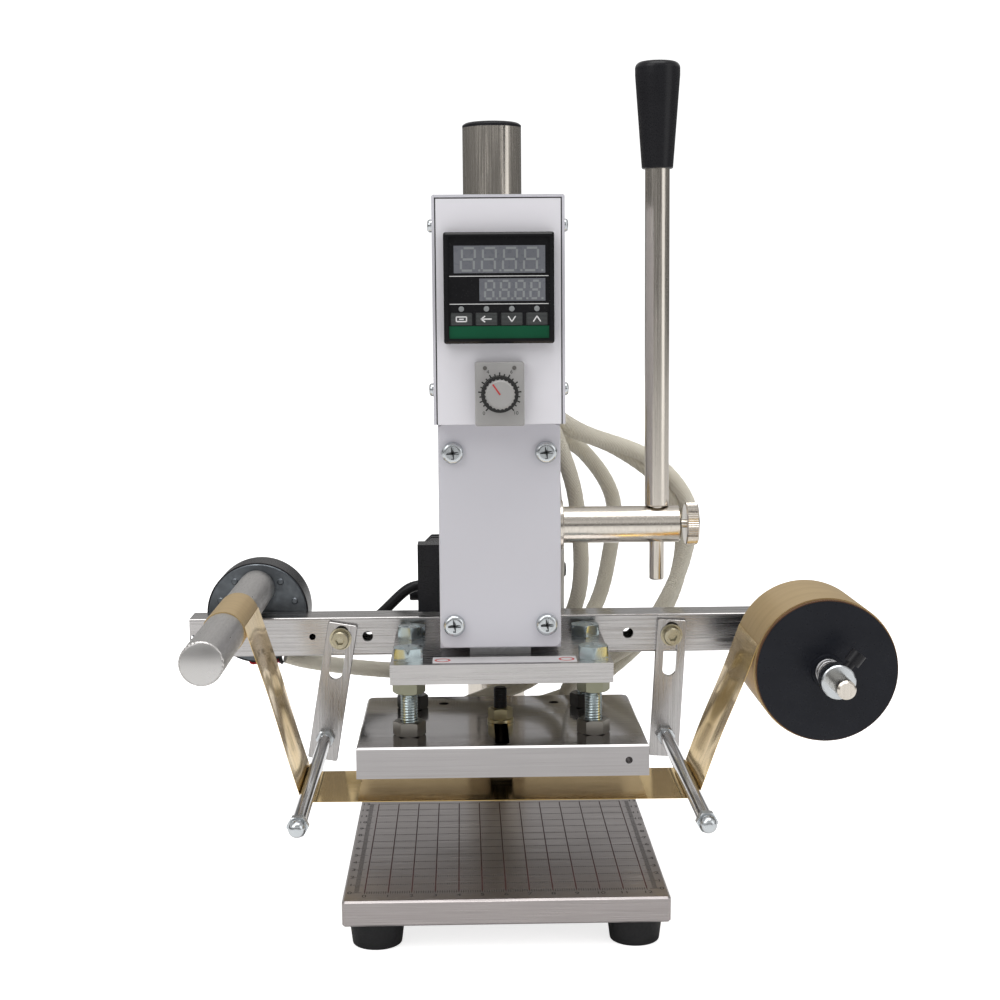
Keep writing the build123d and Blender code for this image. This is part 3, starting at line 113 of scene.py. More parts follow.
class Shader:
    """A principled material with short calls for the textures that shape it."""

    def __init__(self, name, color, rough, metal=0.0):
        self.mat = mats[name] = bpy.data.materials.new(name)
        self.mat.use_nodes = True
        self.tree = self.mat.node_tree
        self.bsdf = self.tree.nodes["Principled BSDF"]
        self.bsdf.inputs["Base Color"].default_value = (*color, 1)
        self.bsdf.inputs["Roughness"].default_value = rough
        self.bsdf.inputs["Metallic"].default_value = metal
        self.rough = rough
        self.coords = self.tree.nodes.new("ShaderNodeTexCoord").outputs["Object"]
        self.normal = None

    def link(self, a, b):
        """Wires an output to an input."""
        self.tree.links.new(a, b)

    def mapped(self, scale, shift=(0, 0, 0)):
        """Object coordinates scaled along each axis and shifted."""
        node = self.tree.nodes.new("ShaderNodeMapping")
        node.inputs["Location"].default_value = shift
        node.inputs["Scale"].default_value = scale
        self.link(self.coords, node.inputs["Vector"])
        return node.outputs["Vector"]

    def along(self, axis):
        """One object coordinate, named X, Y or Z."""
        node = self.tree.nodes.new("ShaderNodeSeparateXYZ")
        self.link(self.coords, node.inputs["Vector"])
        return node.outputs[axis]

    def noise(self, scale, detail=4.0):
        """Cloudy noise with its own frequency, per metre, along each axis."""
        node = self.tree.nodes.new("ShaderNodeTexNoise")
        node.inputs["Scale"].default_value = 1.0
        node.inputs["Detail"].default_value = detail
        self.link(self.mapped(scale), node.inputs["Vector"])
        return node.outputs["Fac"]

    def wave(self, scale):
        """Parallel diagonal bands."""
        node = self.tree.nodes.new("ShaderNodeTexWave")
        node.bands_direction = "DIAGONAL"
        node.inputs["Scale"].default_value = 1.0
        self.link(self.mapped(scale), node.inputs["Vector"])
        return node.outputs["Fac"]

    def rings(self, centre, scale):
        """Fine rings round a centre given in X and Z."""
        node = self.tree.nodes.new("ShaderNodeTexWave")
        node.wave_type = "RINGS"
        node.rings_direction = "SPHERICAL"
        node.inputs["Scale"].default_value = scale
        self.link(self.mapped((1, 0, 1), (-centre[0], 0, -centre[1])), node.inputs["Vector"])
        return node.outputs["Fac"]

    def span(self, source, low_value, high_value, source_low=0.3, source_high=0.7):
        """Stretches a texture's middle range to low_value..high_value."""
        node = self.tree.nodes.new("ShaderNodeMapRange")
        node.inputs["From Min"].default_value = source_low
        node.inputs["From Max"].default_value = source_high
        node.inputs["To Min"].default_value = low_value
        node.inputs["To Max"].default_value = high_value
        self.link(source, node.inputs["Value"])
        return node.outputs["Result"]

    def tint(self, source, other, amount=1.0):
        """Mixes the base colour towards another where the texture is high."""
        node = self.tree.nodes.new("ShaderNodeMix")
        node.data_type = "RGBA"
        current = self.bsdf.inputs["Base Color"]
        if current.is_linked:
            self.link(current.links[0].from_socket, node.inputs["A"])
        else:
            node.inputs["A"].default_value = current.default_value
        node.inputs["B"].default_value = (*other, 1)
        self.link(self.span(source, 0.0, amount), node.inputs["Factor"])
        self.link(node.outputs["Result"], current)

    def vary_rough(self, source, spread):
        """Lets the roughness follow a texture, by spread to each side."""
        least = 0.02
        self.link(self.span(source, max(self.rough - spread, least), self.rough + spread),
                  self.bsdf.inputs["Roughness"])

    def bump(self, source, depth, strength=1.0):
        """Adds a bump of a depth in metres on top of those already there."""
        node = self.tree.nodes.new("ShaderNodeBump")
        node.inputs["Distance"].default_value = depth
        node.inputs["Strength"].default_value = strength
        self.link(source, node.inputs["Height"])
        if self.normal:
            self.link(self.normal, node.inputs["Normal"])
        self.normal = node.outputs["Normal"]
        self.link(self.normal, self.bsdf.inputs["Normal"])


def darker(color, factor):
    """A colour scaled by a factor."""
    return tuple(c * factor for c in color)


def cube(frequency):
    """The same frequency along all three axes."""
    return (frequency, frequency, frequency)


# ---------------------------------------------------------------- kinds of material
def brushed(name, color, rough, grain, streak=0.25, depth=3e-5):
    """Metal with fine streaks; grain holds the texture frequencies per metre along X, Y and Z."""
    shader = Shader(name, color, rough, 1.0)
    fine = shader.noise(grain, 6.0)
    cloud = shader.noise(cube(40), 3.0)
    shader.tint(fine, darker(color, 1 - streak), 0.7)
    shader.tint(cloud, darker(color, 0.88), 0.5)
    shader.vary_rough(fine, 0.1)
    shader.bump(fine, depth, 0.6)


def polished(name, color, rough):
    """Plated metal with faint turning marks and smudges."""
    shader = Shader(name, color, rough, 1.0)
    smudge = shader.noise((90, 90, 30), 5.0)
    shader.tint(smudge, darker(color, 0.85), 0.4)
    shader.vary_rough(smudge, rough * 0.5)
    shader.bump(shader.noise((2600, 2600, 300), 3.0), 4e-6, 0.5)


def powder(name, color, rough=0.42):
    """Powder coat with a fine orange peel."""
    shader = Shader(name, color, rough)
    shader.tint(shader.noise(cube(14), 2.0), darker(color, 0.95), 0.5)
    peel = shader.noise(cube(1500), 2.0)
    shader.bump(peel, 3e-5, 0.35)
    shader.vary_rough(peel, 0.06)


def plastic(name, color, rough, texture=2200, depth=2e-5):
    """Moulded plastic, rubber or ink with a fine texture and faint dust."""
    shader = Shader(name, color, rough)
    shader.bsdf.inputs["Specular IOR Level"].default_value = 0.22
    dusty = tuple(min(c * 1.35 + 0.004, 1) for c in color)
    shader.tint(shader.noise(cube(60), 5.0), dusty, 0.5)
    grain = shader.noise(cube(texture), 2.0)
    shader.vary_rough(grain, 0.08)
    shader.bump(grain, depth, 0.5)


def knurled(name, color, rough, frequency, depth):
    """Metal with two crossing sets of fine grooves round an axis along Y."""
    shader = Shader(name, color, rough, 1.0)
    for sign in (1, -1):
        shader.bump(shader.wave((frequency, sign * frequency, frequency)), depth, 0.6)
    fine = shader.noise((900, 120, 900), 5.0)
    shader.tint(fine, darker(color, 0.7), 0.6)
    shader.vary_rough(fine, 0.1)


def turned(name, color, rough, centre):
    """Faced metal: fine rings round a centre in X and Z, seen from the front."""
    shader = Shader(name, color, rough, 1.0)
    rings = shader.rings(centre, 520)
    shader.bump(rings, 1.2e-5, 0.5)
    shader.tint(rings, darker(color, 0.88), 0.5)
    shader.vary_rough(shader.noise(cube(90), 3.0), 0.04)


def gold_film():
    """Metallised film, mirror bright, with shallow waves."""
    shader = Shader("gold_foil", (0.80, 0.56, 0.20), 0.13, 1.0)
    shader.tint(shader.noise((8, 30, 8), 3.0), (0.60, 0.40, 0.12), 0.6)
    shader.bump(shader.noise((22, 7, 22), 1.5), 1.2e-3, 0.45)
    shader.vary_rough(shader.noise((60, 300, 60), 4.0), 0.05)


def gold_layers():
    """Film wound in many layers: duller, with fine lines round the roll."""
    shader = Shader("gold_satin", (0.58, 0.43, 0.22), 0.44, 0.75)
    shader.tint(shader.noise((20, 400, 20), 4.0), (0.43, 0.30, 0.14), 0.5)
    shader.tint(shader.noise((60, 12, 60), 3.0), (0.58, 0.43, 0.23), 0.4)
    shader.bump(shader.noise((30, 900, 30), 3.0), 2e-5, 0.5)


def woven_glass():
    """Cream fibreglass sleeving with two crossing sets of strands."""
    shader = Shader("sleeve", (0.72, 0.68, 0.57), 0.8)
    strands = [shader.wave((420, 420, 420)), shader.wave((-420, 420, 420))]
    shader.tint(strands[0], (0.56, 0.51, 0.40), 0.5)
    shader.tint(shader.noise(cube(40), 4.0), (0.72, 0.69, 0.60), 0.5)
    for strand in strands:
        shader.bump(strand, 2e-4, 0.5)
    shader.bsdf.inputs["Sheen Weight"].default_value = 0.3


def clamp_metal():
    """Yellow zinc on the die clamp's nut and washer, black on the stud above them, and near black below the
    heating plate's top, where the bolt sits in the slot.
    """
    shader = Shader("die_clamp", (0.62, 0.55, 0.34), 0.28, 1.0)
    shader.tint(shader.noise((90, 90, 30), 5.0), (0.50, 0.44, 0.26), 0.4)
    edge = 0.01 * MM
    for edge_z, below, above in ((heat_top, 1.0, 0.0), (stud_bottom + 0.1 * MM, 0.0, 1.0)):
        share = shader.span(shader.along("Z"), below, above, edge_z - edge, edge_z + edge)
        shader.tint(share, cube(0.01))


def nut_metal():
    """Dull steel on the plate nuts, painted dark at the back for the shade between the plates, and yellowish
    on the upper ones.
    """
    shader = Shader("plate_nuts", (0.27, 0.255, 0.23), 0.32, 1.0)
    shader.tint(shader.noise((90, 90, 30), 5.0), (0.20, 0.19, 0.17), 0.5)
    mid = middle("plate_nuts")
    # painted shade: the nuts at the back, behind and between the plates, are tinted near black
    shader.tint(shader.span(shader.along("Y"), 0.0, 1.0, mid.y - MM, mid.y + MM), (0.07, 0.068, 0.065))
    shader.tint(shader.span(shader.along("Z"), 0.0, 1.0, mid.z - MM, mid.z + MM), (0.26, 0.26, 0.19))


ALU = (0.52, 0.505, 0.50)
brushed("brushed_plate", (0.39, 0.36, 0.355), 0.34, (30, 2600, 2600))
brushed("nickel", (0.74, 0.69, 0.62), 0.2, (2400, 2400, 26), 0.22, 1e-5)
brushed("steel", (0.42, 0.42, 0.43), 0.36, cube(500))
brushed("aluminium", ALU, 0.25, (22, 1300, 1300), 0.13, 8e-6)
brushed("arm_metal", darker(ALU, 0.92), 0.24, (1300, 1300, 22), 0.13, 8e-6)
brushed("mirror_plate", (0.40, 0.385, 0.385), 0.13, (14, 1400, 1400), 0.2, 1e-5)
brushed("motor_metal", (0.15, 0.165, 0.18), 0.42, cube(400))
polished("chrome", (0.82, 0.82, 0.83), 0.08)
polished("zinc", (0.58, 0.61, 0.63), 0.22)
polished("yellow_zinc", (0.50, 0.46, 0.34), 0.28)
polished("blue_zinc", (0.44, 0.52, 0.54), 0.26)
polished("brass", (0.62, 0.45, 0.2), 0.3)
knurled("roller_metal", (0.60, 0.585, 0.57), 0.36, 300, 1.6e-4)
turned("turned_end", (0.56, 0.55, 0.54), 0.3, (roller_mid.x, roller_mid.z))
powder("white_powder", (0.56, 0.555, 0.60))
powder("cover_white", (0.58, 0.575, 0.62))
powder("front_grey", (0.72, 0.71, 0.75), 0.46)
plastic("black_rubber", (0.011, 0.011, 0.012), 0.6, 900, 6e-5)
plastic("black_plastic", (0.009, 0.009, 0.011), 0.3)
plastic("gloss_black", (0.007, 0.007, 0.008), 0.2, 1400, 6e-6)
plastic("black_oxide", (0.012, 0.012, 0.013), 0.3)
plastic("reel_black", (0.006, 0.007, 0.011), 0.34, 700, 2e-5)
plastic("reel_brown", (0.10, 0.045, 0.02), 0.3)
plastic("silver_plastic", (0.30, 0.295, 0.29), 0.45)
plastic("key_plastic", (0.022, 0.024, 0.024), 0.4)
# painted shade for the cross recesses of the cover screws
plastic("recess_shade", (0.05, 0.052, 0.055), 0.4)
plastic("window_grey", (0.115, 0.12, 0.135), 0.3, 500, 2e-6)
plastic("segment_grey", (0.20, 0.21, 0.215), 0.4)
plastic("hatch_grey", (0.09, 0.095, 0.095), 0.4)
plastic("label_grey", (0.50, 0.49, 0.50), 0.4)
plastic("line_white", cube(0.62), 0.4)
plastic("green_strip", (0.0, 0.06, 0.025), 0.4)
plastic("ink_red", (0.045, 0.012, 0.014), 0.5)
plastic("ink_signal", (0.40, 0.05, 0.05), 0.5)
plastic("ink_grey", (0.10, 0.095, 0.09), 0.5)
plastic("ink_black", cube(0.03), 0.5)
plastic("wire_red", (0.5, 0.02, 0.02), 0.4)
plastic("wire_blue", (0.02, 0.05, 0.35), 0.4)
plastic("wire_white", (0.75, 0.74, 0.70), 0.45)
gold_film()
gold_layers()
woven_glass()
clamp_metal()
nut_metal()

node_material = {part["node"]: part["material_slot"] for part in frame["record"]["subparts"]}
node_material.update(
    heating_plate="mirror_plate",
    box_chassis="front_grey",
    front_cover="cover_white",
    takeup_roller="roller_metal",
    reel_flanges="reel_black",
    arm_bolts="yellow_zinc",
    foil_roll="gold_satin",
    arm_left="arm_metal",
    arm_right="arm_metal",
    die_clamp="die_clamp",
    plate_nuts="plate_nuts",
)
for node, name in node_material.items():
    for slot in nodes[node].material_slots:
        slot.material = mats[name]
    if not nodes[node].material_slots:
        nodes[node].data.materials.append(mats[name])


# ---------------------------------------------------------------- mesh helpers
def make(name, bm, material, body, smooth=True):
    """Turns a bmesh into a piece that rides on a body."""
    bmesh.ops.recalc_face_normals(bm, faces=bm.faces)
    mesh = bpy.data.meshes.new(name)
    bm.to_mesh(mesh)
    bm.free()
    obj = bpy.data.objects.new(name, mesh)
    bpy.context.scene.collection.objects.link(obj)
    mesh.materials.append(mats[material])
    if smooth:
        for poly in mesh.polygons:
            poly.use_smooth = True
        mesh.set_sharp_from_angle(angle=math.radians(35))
    if body:
        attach(obj, body)
    return obj


def add_box(bm, lo, hi):
    """A block between two corners."""
    size = Vector(hi) - Vector(lo)
    centre = (Vector(hi) + Vector(lo)) / 2
    matrix = Matrix.Translation(centre) @ Matrix.Diagonal((*size, 1))
    bmesh.ops.create_cube(bm, size=1, matrix=matrix)


def skin(bm, rings, capped=True):
    """Joins rings of equal count, one to the next, and closes the first and last."""
    for ring_a, ring_b in zip(rings, rings[1:]):
        for i in range(len(ring_a)):
            j = (i + 1) % len(ring_a)
            bm.faces.new((ring_a[i], ring_a[j], ring_b[j], ring_b[i]))
    if capped:
        bm.faces.new(rings[0])
        bm.faces.new(rings[-1])


def add_prism(bm, outline, along):
    """A prism: an outline of points and the vector from its back to its front."""
    back = [bm.verts.new(point) for point in outline]
    front = [bm.verts.new(vert.co + Vector(along)) for vert in back]
    skin(bm, [back, front])


def add_turned(bm, profile, origin, axis, segments=48):
    """A turned shape: profile is (radius, distance along axis) pairs, ends on the axis allowed."""
    turn = Vector(TO_TOP).rotation_difference(Vector(axis)).to_matrix()
    rings = []
    for radius, along in profile:
        if radius == 0:
            rings.append([bm.verts.new(Vector(origin) + turn @ Vector((0, 0, along)))])
            continue
        ring = []
        for i in range(segments):
            angle = 2 * math.pi * i / segments
            point = Vector((radius * math.cos(angle), radius * math.sin(angle), along))
            ring.append(bm.verts.new(Vector(origin) + turn @ point))
        rings.append(ring)
    for ring_a, ring_b in zip(rings, rings[1:]):
        for i in range(segments):
            j = (i + 1) % segments
            corners = [ring_a[i % len(ring_a)], ring_a[j % len(ring_a)],
                       ring_b[j % len(ring_b)], ring_b[i % len(ring_b)]]
            corners = list(dict.fromkeys(corners))
            if len(corners) > 2:
                bm.faces.new(corners)


def band(inner, outer, depth):
    """The turned profile of a flat ring."""
    return [(inner, 0), (outer, 0), (outer, depth), (inner, depth), (inner, 0)]


def smooth_path(points, steps=14):
    """Points along a Catmull-Rom curve through the given points."""
    pts = [Vector(p) for p in points]
    pts = [2 * pts[0] - pts[1]] + pts + [2 * pts[-1] - pts[-2]]
    out = []
    for a, b, c, d in zip(pts, pts[1:], pts[2:], pts[3:]):
        for k in range(steps):
            t = k / steps
            out.append(0.5 * (2 * b + (c - a) * t + (2 * a - 5 * b + 4 * c - d) * t ** 2
                              + (3 * b - a - 3 * c + d) * t ** 3))
    out.append(pts[-2])
    return out


def add_tube(bm, path, radius, segments=16, ripple=0.0):
    """A closed tube along a path, its rings carried along without twist."""
    tangent = (path[1] - path[0]).normalized()
    normal = tangent.orthogonal().normalized()
    rings = []
    for i, point in enumerate(path):
        ahead = path[min(i + 1, len(path) - 1)]
        behind = path[max(i - 1, 0)]
        new_tangent = (ahead - behind).normalized()
        normal = tangent.rotation_difference(new_tangent) @ normal
        tangent = new_tangent
        side = tangent.cross(normal)
        r = radius * (1 + ripple * (1 if i % 2 else -1))
        ring = []
        for k in range(segments):
            angle = 2 * math.pi * k / segments
            ring.append(bm.verts.new(point + r * (math.cos(angle) * normal + math.sin(angle) * side)))
        rings.append(ring)
    skin(bm, rings)


def add_thread(bm, centre, bottom, top, radius, pitch):
    """A threaded stud standing along Z: its radius follows a helical groove, and its ends are cut back."""
    segments, steps_per_turn, end_cut = 28, 6, 0.5 * MM
    count = int((top - bottom) / pitch * steps_per_turn)
    depth = pitch * 0.3
    rings = []
    for i in range(count + 1):
        z = bottom + (top - bottom) * i / count
        ring = []
        for k in range(segments):
            phase = (z / pitch - k / segments) % 1.0
            r = radius - depth * abs(2 * phase - 1) - (end_cut if i in (0, count) else 0)
            angle = 2 * math.pi * k / segments
            ring.append(bm.verts.new((centre[0] + r * math.cos(angle), centre[1] + r * math.sin(angle), z)))
        rings.append(ring)
    skin(bm, rings)


def text_piece(name, words, size, material, body, thickness, tilt=0.0):
    """Several short texts as one mesh piece; words holds (text, place), and tilt stands them upright."""
    bm = bmesh.new()
    for text, place in words:
        curve = bpy.data.curves.new(name + "_curve", "FONT")
        curve.body = text
        curve.size = size
        curve.extrude = thickness / 2
        curve.align_x = "CENTER"
        curve.align_y = "CENTER"
        holder = bpy.data.objects.new(name + "_text", curve)
        matrix = Matrix.Translation(place) @ Euler((tilt, 0, 0)).to_matrix().to_4x4()
        start = len(bm.verts)
        bm.from_mesh(holder.to_mesh())
        bm.verts.ensure_lookup_table()
        for vert in bm.verts[start:]:
            vert.co = matrix @ vert.co
        holder.to_mesh_clear()
        bpy.data.objects.remove(holder)
        bpy.data.curves.remove(curve)
    make(name, bm, material, body, smooth=False)


# ---------------------------------------------------------------- work table: printed centimetre grid
MM_PER_CM = 10
CM = MM_PER_CM * MM
grid_cols, grid_rows = 12, 13
grid_left = -grid_cols / 2 * CM
grid_front = table_lo.y + 11 * MM
top_z = table_hi.z
ink_t = 0.04 * MM
row_half, column_half, tick_half = 0.09 * MM, 0.26 * MM, 0.14 * MM      # half widths of the printed lines
row_ys = [grid_front + row * CM for row in range(grid_rows + 1)]
column_xs = [grid_left + col * CM for col in range(grid_cols + 1)]
rule_in, side_number_in, front_number_out = 5.5 * MM, 2.6 * MM, 4.4 * MM

bm = bmesh.new()
for y in row_ys:
    add_box(bm, (grid_left, y - row_half, top_z), (-grid_left, y + row_half, top_z + ink_t * 0.6))
make("grid_rows", bm, "ink_grey", "stand", smooth=False)

bm = bmesh.new()
for x in column_xs:
    add_box(bm, (x - column_half, grid_front, top_z), (x + column_half, row_ys[-1], top_z + ink_t))
make("grid_columns", bm, "ink_red", "stand", smooth=False)

bm = bmesh.new()
front_reach, long_reach, short_reach = 1.5 * MM, 0.9 * MM, 0.6 * MM
for row, y in enumerate(row_ys):
    for tick in range(grid_cols * MM_PER_CM + 1):
        x = grid_left + tick * MM
        reach = short_reach if tick % (MM_PER_CM // 2) else long_reach
        if row == 0:
            reach = front_reach
        add_box(bm, (x - tick_half, y - reach, top_z), (x + tick_half, y + reach, top_z + ink_t * 0.8))
make("grid_ticks_black", bm, "ink_black", "stand", smooth=False)

bm = bmesh.new()
centimetre_reach, millimetre_reach = 2.2 * MM, 1.0 * MM
for x in (table_lo.x + rule_in, table_hi.x - rule_in):
    for tick in range(grid_rows * MM_PER_CM + 1):
        y = grid_front + tick * MM
        reach = millimetre_reach if tick % MM_PER_CM else centimetre_reach
        add_box(bm, (x - reach, y - tick_half, top_z), (x + reach, y + tick_half, top_z + ink_t))
make("grid_side_rules", bm, "ink_black", "stand", smooth=False)

ink_mid = top_z + ink_t / 2
numbers = [(str(col), (x, grid_front - front_number_out, ink_mid)) for col, x in enumerate(column_xs)]
for row, y in enumerate(row_ys):
    for x in (table_lo.x + side_number_in, table_hi.x - side_number_in):
        numbers.append((str(row), (x, y, ink_mid)))
text_piece("grid_numbers", numbers, 4.2 * MM, "ink_black", "stand", ink_t)


# ---------------------------------------------------------------- controller face
case_lo, case_hi = low("controller_case"), high("controller_case")
face_y = case_lo.y + 1 * MM                     # bottom of the shallow recess in the bezel
face_x, face_z = (case_lo.x + case_hi.x) / 2, (case_lo.z + case_hi.z) / 2
DIGITS = 4
window_t, segment_t, segment_w, dot_w = 0.4 * MM, 0.08 * MM, 0.95 * MM, 0.9 * MM
lean = 0.1                                      # sideways lean of a digit for each unit of height
# each segment's place in half widths and half heights from the digit's middle, and whether it is upright
SEGMENTS = ((0, 1, 0), (1, 0.5, 1), (1, -0.5, 1), (0, -1, 0), (-1, -0.5, 1), (-1, 0.5, 1), (0, 0, 0))
# for each window its middle X and Z, width and height, then the width and height of its digits
WINDOWS = ((face_x + 0.3 * MM, face_z + 12.3 * MM, 39.6 * MM, 11.8 * MM, 6.8 * MM, 9.6 * MM),
           (face_x + 5.8 * MM, face_z - 0.8 * MM, 28.6 * MM, 9.7 * MM, 4.4 * MM, 7.6 * MM))


def add_plate(bm, x, z, width, height, y, thickness):
    """A thin upright plate whose back is at depth y."""
    add_box(bm, (x - width / 2, y - thickness, z - height / 2), (x + width / 2, y, z + height / 2))


def add_digit(bm, x, z, width, height, y):
    """A figure eight of seven unlit segments, each shifted by its height as in a leaning digit."""
    gap = segment_w * 0.6
    for dx, dz, upright in SEGMENTS:
        segment_x = x + dx * width / 2 + dz * height / 2 * lean
        length = (height / 2 if upright else width) - 2 * gap
        size = (segment_w, length) if upright else (length, segment_w)
        add_plate(bm, segment_x, z + dz * height / 2, *size, y, segment_t)


def add_stroke(bm, x0, z0, x1, z1, width, y, thickness):
    """A straight inked stroke on an upright face."""
    across = Vector((x1 - x0, 0, z1 - z0)).cross(Vector(TO_BACK)).normalized() * width / 2
    a, b = Vector((x0, y, z0)), Vector((x1, y, z1))
    add_prism(bm, (a - across, a + across, b + across, b - across), (0, -thickness, 0))


bm = bmesh.new()
bm_digits = bmesh.new()
digit_y = face_y - window_t
for x, z, width, height, digit_w, digit_h in WINDOWS:
    add_plate(bm, x, z, width, height, face_y, window_t)
    pitch = width / (DIGITS + 0.35)
    for i in range(DIGITS):
        digit_x = x + (i - (DIGITS - 1) / 2) * pitch
        add_digit(bm_digits, digit_x, z, digit_w * 0.82, digit_h, digit_y)
        add_plate(bm_digits, digit_x + digit_w * 0.72, z - digit_h / 2, dot_w, dot_w, digit_y, segment_t)
make("display_windows", bm, "window_grey", "head", smooth=False)
make("display_digits", bm_digits, "segment_grey", "head", smooth=False)

bm = bmesh.new()
strip_z, strip_w, strip_h = case_lo.z + 4.9 * MM, 43.4 * MM, 5.4 * MM
add_plate(bm, face_x, strip_z, strip_w, strip_h, face_y, 0.12 * MM)
make("controller_strip", bm, "green_strip", "head", smooth=False)

bm = bmesh.new()
line_zs, line_length, line_w = (face_z + 5.1 * MM, face_z - 6.9 * MM), 43 * MM, 0.3 * MM
for z in line_zs:
    add_plate(bm, face_x, z, line_length, line_w, face_y, 0.06 * MM)
make("controller_lines", bm, "line_white", "head", smooth=False)

# each key's sign as strokes (x0, z0, x1, z1) in millimetres from the key's middle
GLYPHS = {"key_set": [(-2.2, -1, -2.2, 1), (-2.2, 1, 2.2, 1), (2.2, 1, 2.2, -1), (2.2, -1, -2.2, -1),
                      (-1, 0, 1, 0)],
          "key_shift": [(-2.4, 0, 2.2, 0), (-2.4, 0, -0.6, 1.3), (-2.4, 0, -0.6, -1.3)],
          "key_down": [(-1.6, 1.2, 0, -1.2), (0, -1.2, 1.6, 1.2)],
          "key_up": [(-1.6, -1.2, 0, 1.2), (0, 1.2, 1.6, -1.2)]}
led_z = face_z - 9.0 * MM
led_profile = [(0, 0), (1.2 * MM, 0), (1.2 * MM, 0.3 * MM), (0.9 * MM, 0.45 * MM), (0, 0.5 * MM)]
bm = bmesh.new()
for key in GLYPHS:
    add_turned(bm, led_profile, (middle(key).x, face_y, led_z), TO_FRONT, 20)
make("controller_leds", bm, "segment_grey", "head")

glyph_w, glyph_t = 0.5 * MM, 0.05 * MM
hatch_length, hatch_w, hatch_t = 8.8 * MM, 0.17 * MM, 0.03 * MM
hatch_each_side, hatch_pitch = 4, 0.56 * MM
for key, strokes in GLYPHS.items():
    front_y, mid = low(key).y, middle(key)
    bm = bmesh.new()
    for x0, z0, x1, z1 in strokes:
        add_stroke(bm, mid.x + x0 * MM, mid.z + z0 * MM, mid.x + x1 * MM, mid.z + z1 * MM,
                   glyph_w, front_y, glyph_t)
    make(key + "_mark", bm, "line_white", key, smooth=False)
    bm = bmesh.new()
    for i in range(-hatch_each_side, hatch_each_side + 1):
        add_plate(bm, mid.x, mid.z + i * hatch_pitch, hatch_length, hatch_w, front_y, hatch_t)
    make(key + "_hatch", bm, "hatch_grey", key, smooth=False)

# painted shade: thin black strips round the front panel of the control box, for the shaded gap between the
# panel and its cover
panel_lo, panel_hi = low("box_chassis"), high("box_chassis")
gap_shade_w, gap_shade_t = 0.45 * MM, 0.05 * MM
bm = bmesh.new()
for x0, x1, z0, z1 in ((panel_lo.x, panel_lo.x + gap_shade_w, panel_lo.z, panel_hi.z),
                       (panel_hi.x - gap_shade_w, panel_hi.x, panel_lo.z, panel_hi.z),
                       (panel_lo.x, panel_hi.x, panel_hi.z - gap_shade_w, panel_hi.z)):
    add_box(bm, (x0, panel_lo.y - gap_shade_t, z0), (x1, panel_lo.y, z1))
make("panel_gap_shade", bm, "ink_black", "head", smooth=False)


# ---------------------------------------------------------------- timer face and dial
dial_mid = middle("timer_dial")
timer_y, timer_top = low("timer_case").y, high("timer_case").z
dial_front, dial_r = low("timer_dial").y, high("timer_dial").x - dial_mid.x
ring_in, ring_out, tick_out, number_r = 7.4 * MM, 8.2 * MM, 9.5 * MM, 10.9 * MM
knob_r = 6.25 * MM
TICKS, SWEEP = 21, 140                          # the scale runs from -SWEEP to SWEEP degrees


def on_dial(radius, degrees):
    """X and Z of a point round the dial, its angle counted clockwise from the top."""
    angle = math.radians(degrees)
    return dial_mid.x + radius * math.sin(angle), dial_mid.z + radius * math.cos(angle)


bm = bmesh.new()
add_turned(bm, band(ring_in, ring_out, 0.08 * MM), (dial_mid.x, timer_y, dial_mid.z), TO_FRONT, 64)
for i in range(TICKS):
    degrees = SWEEP * (2 * i / (TICKS - 1) - 1)
    reach = tick_out - 0.5 * MM if i % 2 else tick_out
    add_stroke(bm, *on_dial(ring_out, degrees), *on_dial(reach, degrees), 0.6 * MM, timer_y, 0.06 * MM)
make("timer_scale", bm, "ink_black", "head", smooth=False)

bm = bmesh.new()
lamp_r, lamp_out, lamp_down = 0.9 * MM, 6.4 * MM, 2.6 * MM
for side in (-1, 1):
    add_turned(bm, [(0, 0), (lamp_r, 0), (lamp_r, 0.3 * MM), (0, 0.5 * MM)],
               (dial_mid.x + side * lamp_out, timer_y, timer_top - lamp_down), TO_FRONT, 16)
make("timer_leds", bm, "ink_grey", "head")

scale_numbers = []
for number, degrees in (("0", -140), ("4", -28), ("6", 28), ("10", 140)):
    x, z = on_dial(number_r, degrees)
    scale_numbers.append((number, (x, timer_y - 0.02 * MM, z)))
text_piece("timer_numbers", scale_numbers, 2.2 * MM, "ink_black", "head", 0.04 * MM, tilt=math.pi / 2)

bm = bmesh.new()
RIBS, rib_r, rib_length, rib_back = 24, 0.42 * MM, 4.6 * MM, 0.9 * MM
for i in range(RIBS):
    angle = 2 * math.pi * i / RIBS
    start = Vector((dial_mid.x + knob_r * math.cos(angle), dial_front + rib_back,
                    dial_mid.z + knob_r * math.sin(angle)))
    add_tube(bm, [start, start + Vector((0, rib_length, 0))], rib_r, 6)
make("dial_ribs", bm, "silver_plastic", "timer_dial")

bm = bmesh.new()
skirt_y = timer_y - 0.7 * MM
add_turned(bm, band(knob_r, dial_r, 0.25 * MM), (dial_mid.x, skirt_y, dial_mid.z), TO_FRONT, 64)
make("dial_skirt", bm, "ink_black", "timer_dial")

bm = bmesh.new()
pointer_w, pointer_t = 0.7 * MM, 0.12 * MM
pointer_x, pointer_z = on_dial(5.6 * MM, -35)
add_stroke(bm, dial_mid.x, dial_mid.z, pointer_x, pointer_z, pointer_w, dial_front, pointer_t)
make("dial_pointer", bm, "ink_signal", "timer_dial", smooth=False)


# ---------------------------------------------------------------- bolts of the upper plate and the die clamp
M8_R, M8_PITCH, HEAD_FLATS, HEAD_HEIGHT = 4 * MM, 1.25 * MM, 13 * MM, 5.3 * MM
bolts_lo, bolts_hi = low("hex_bolts"), high("hex_bolts")
head_corner = HEAD_FLATS / 2 / math.cos(math.pi / 6)
bolt_places = [(x, y) for x in (bolts_lo.x + head_corner, bolts_hi.x - head_corner)
               for y in (bolts_lo.y + HEAD_FLATS / 2, bolts_hi.y - HEAD_FLATS / 2)]


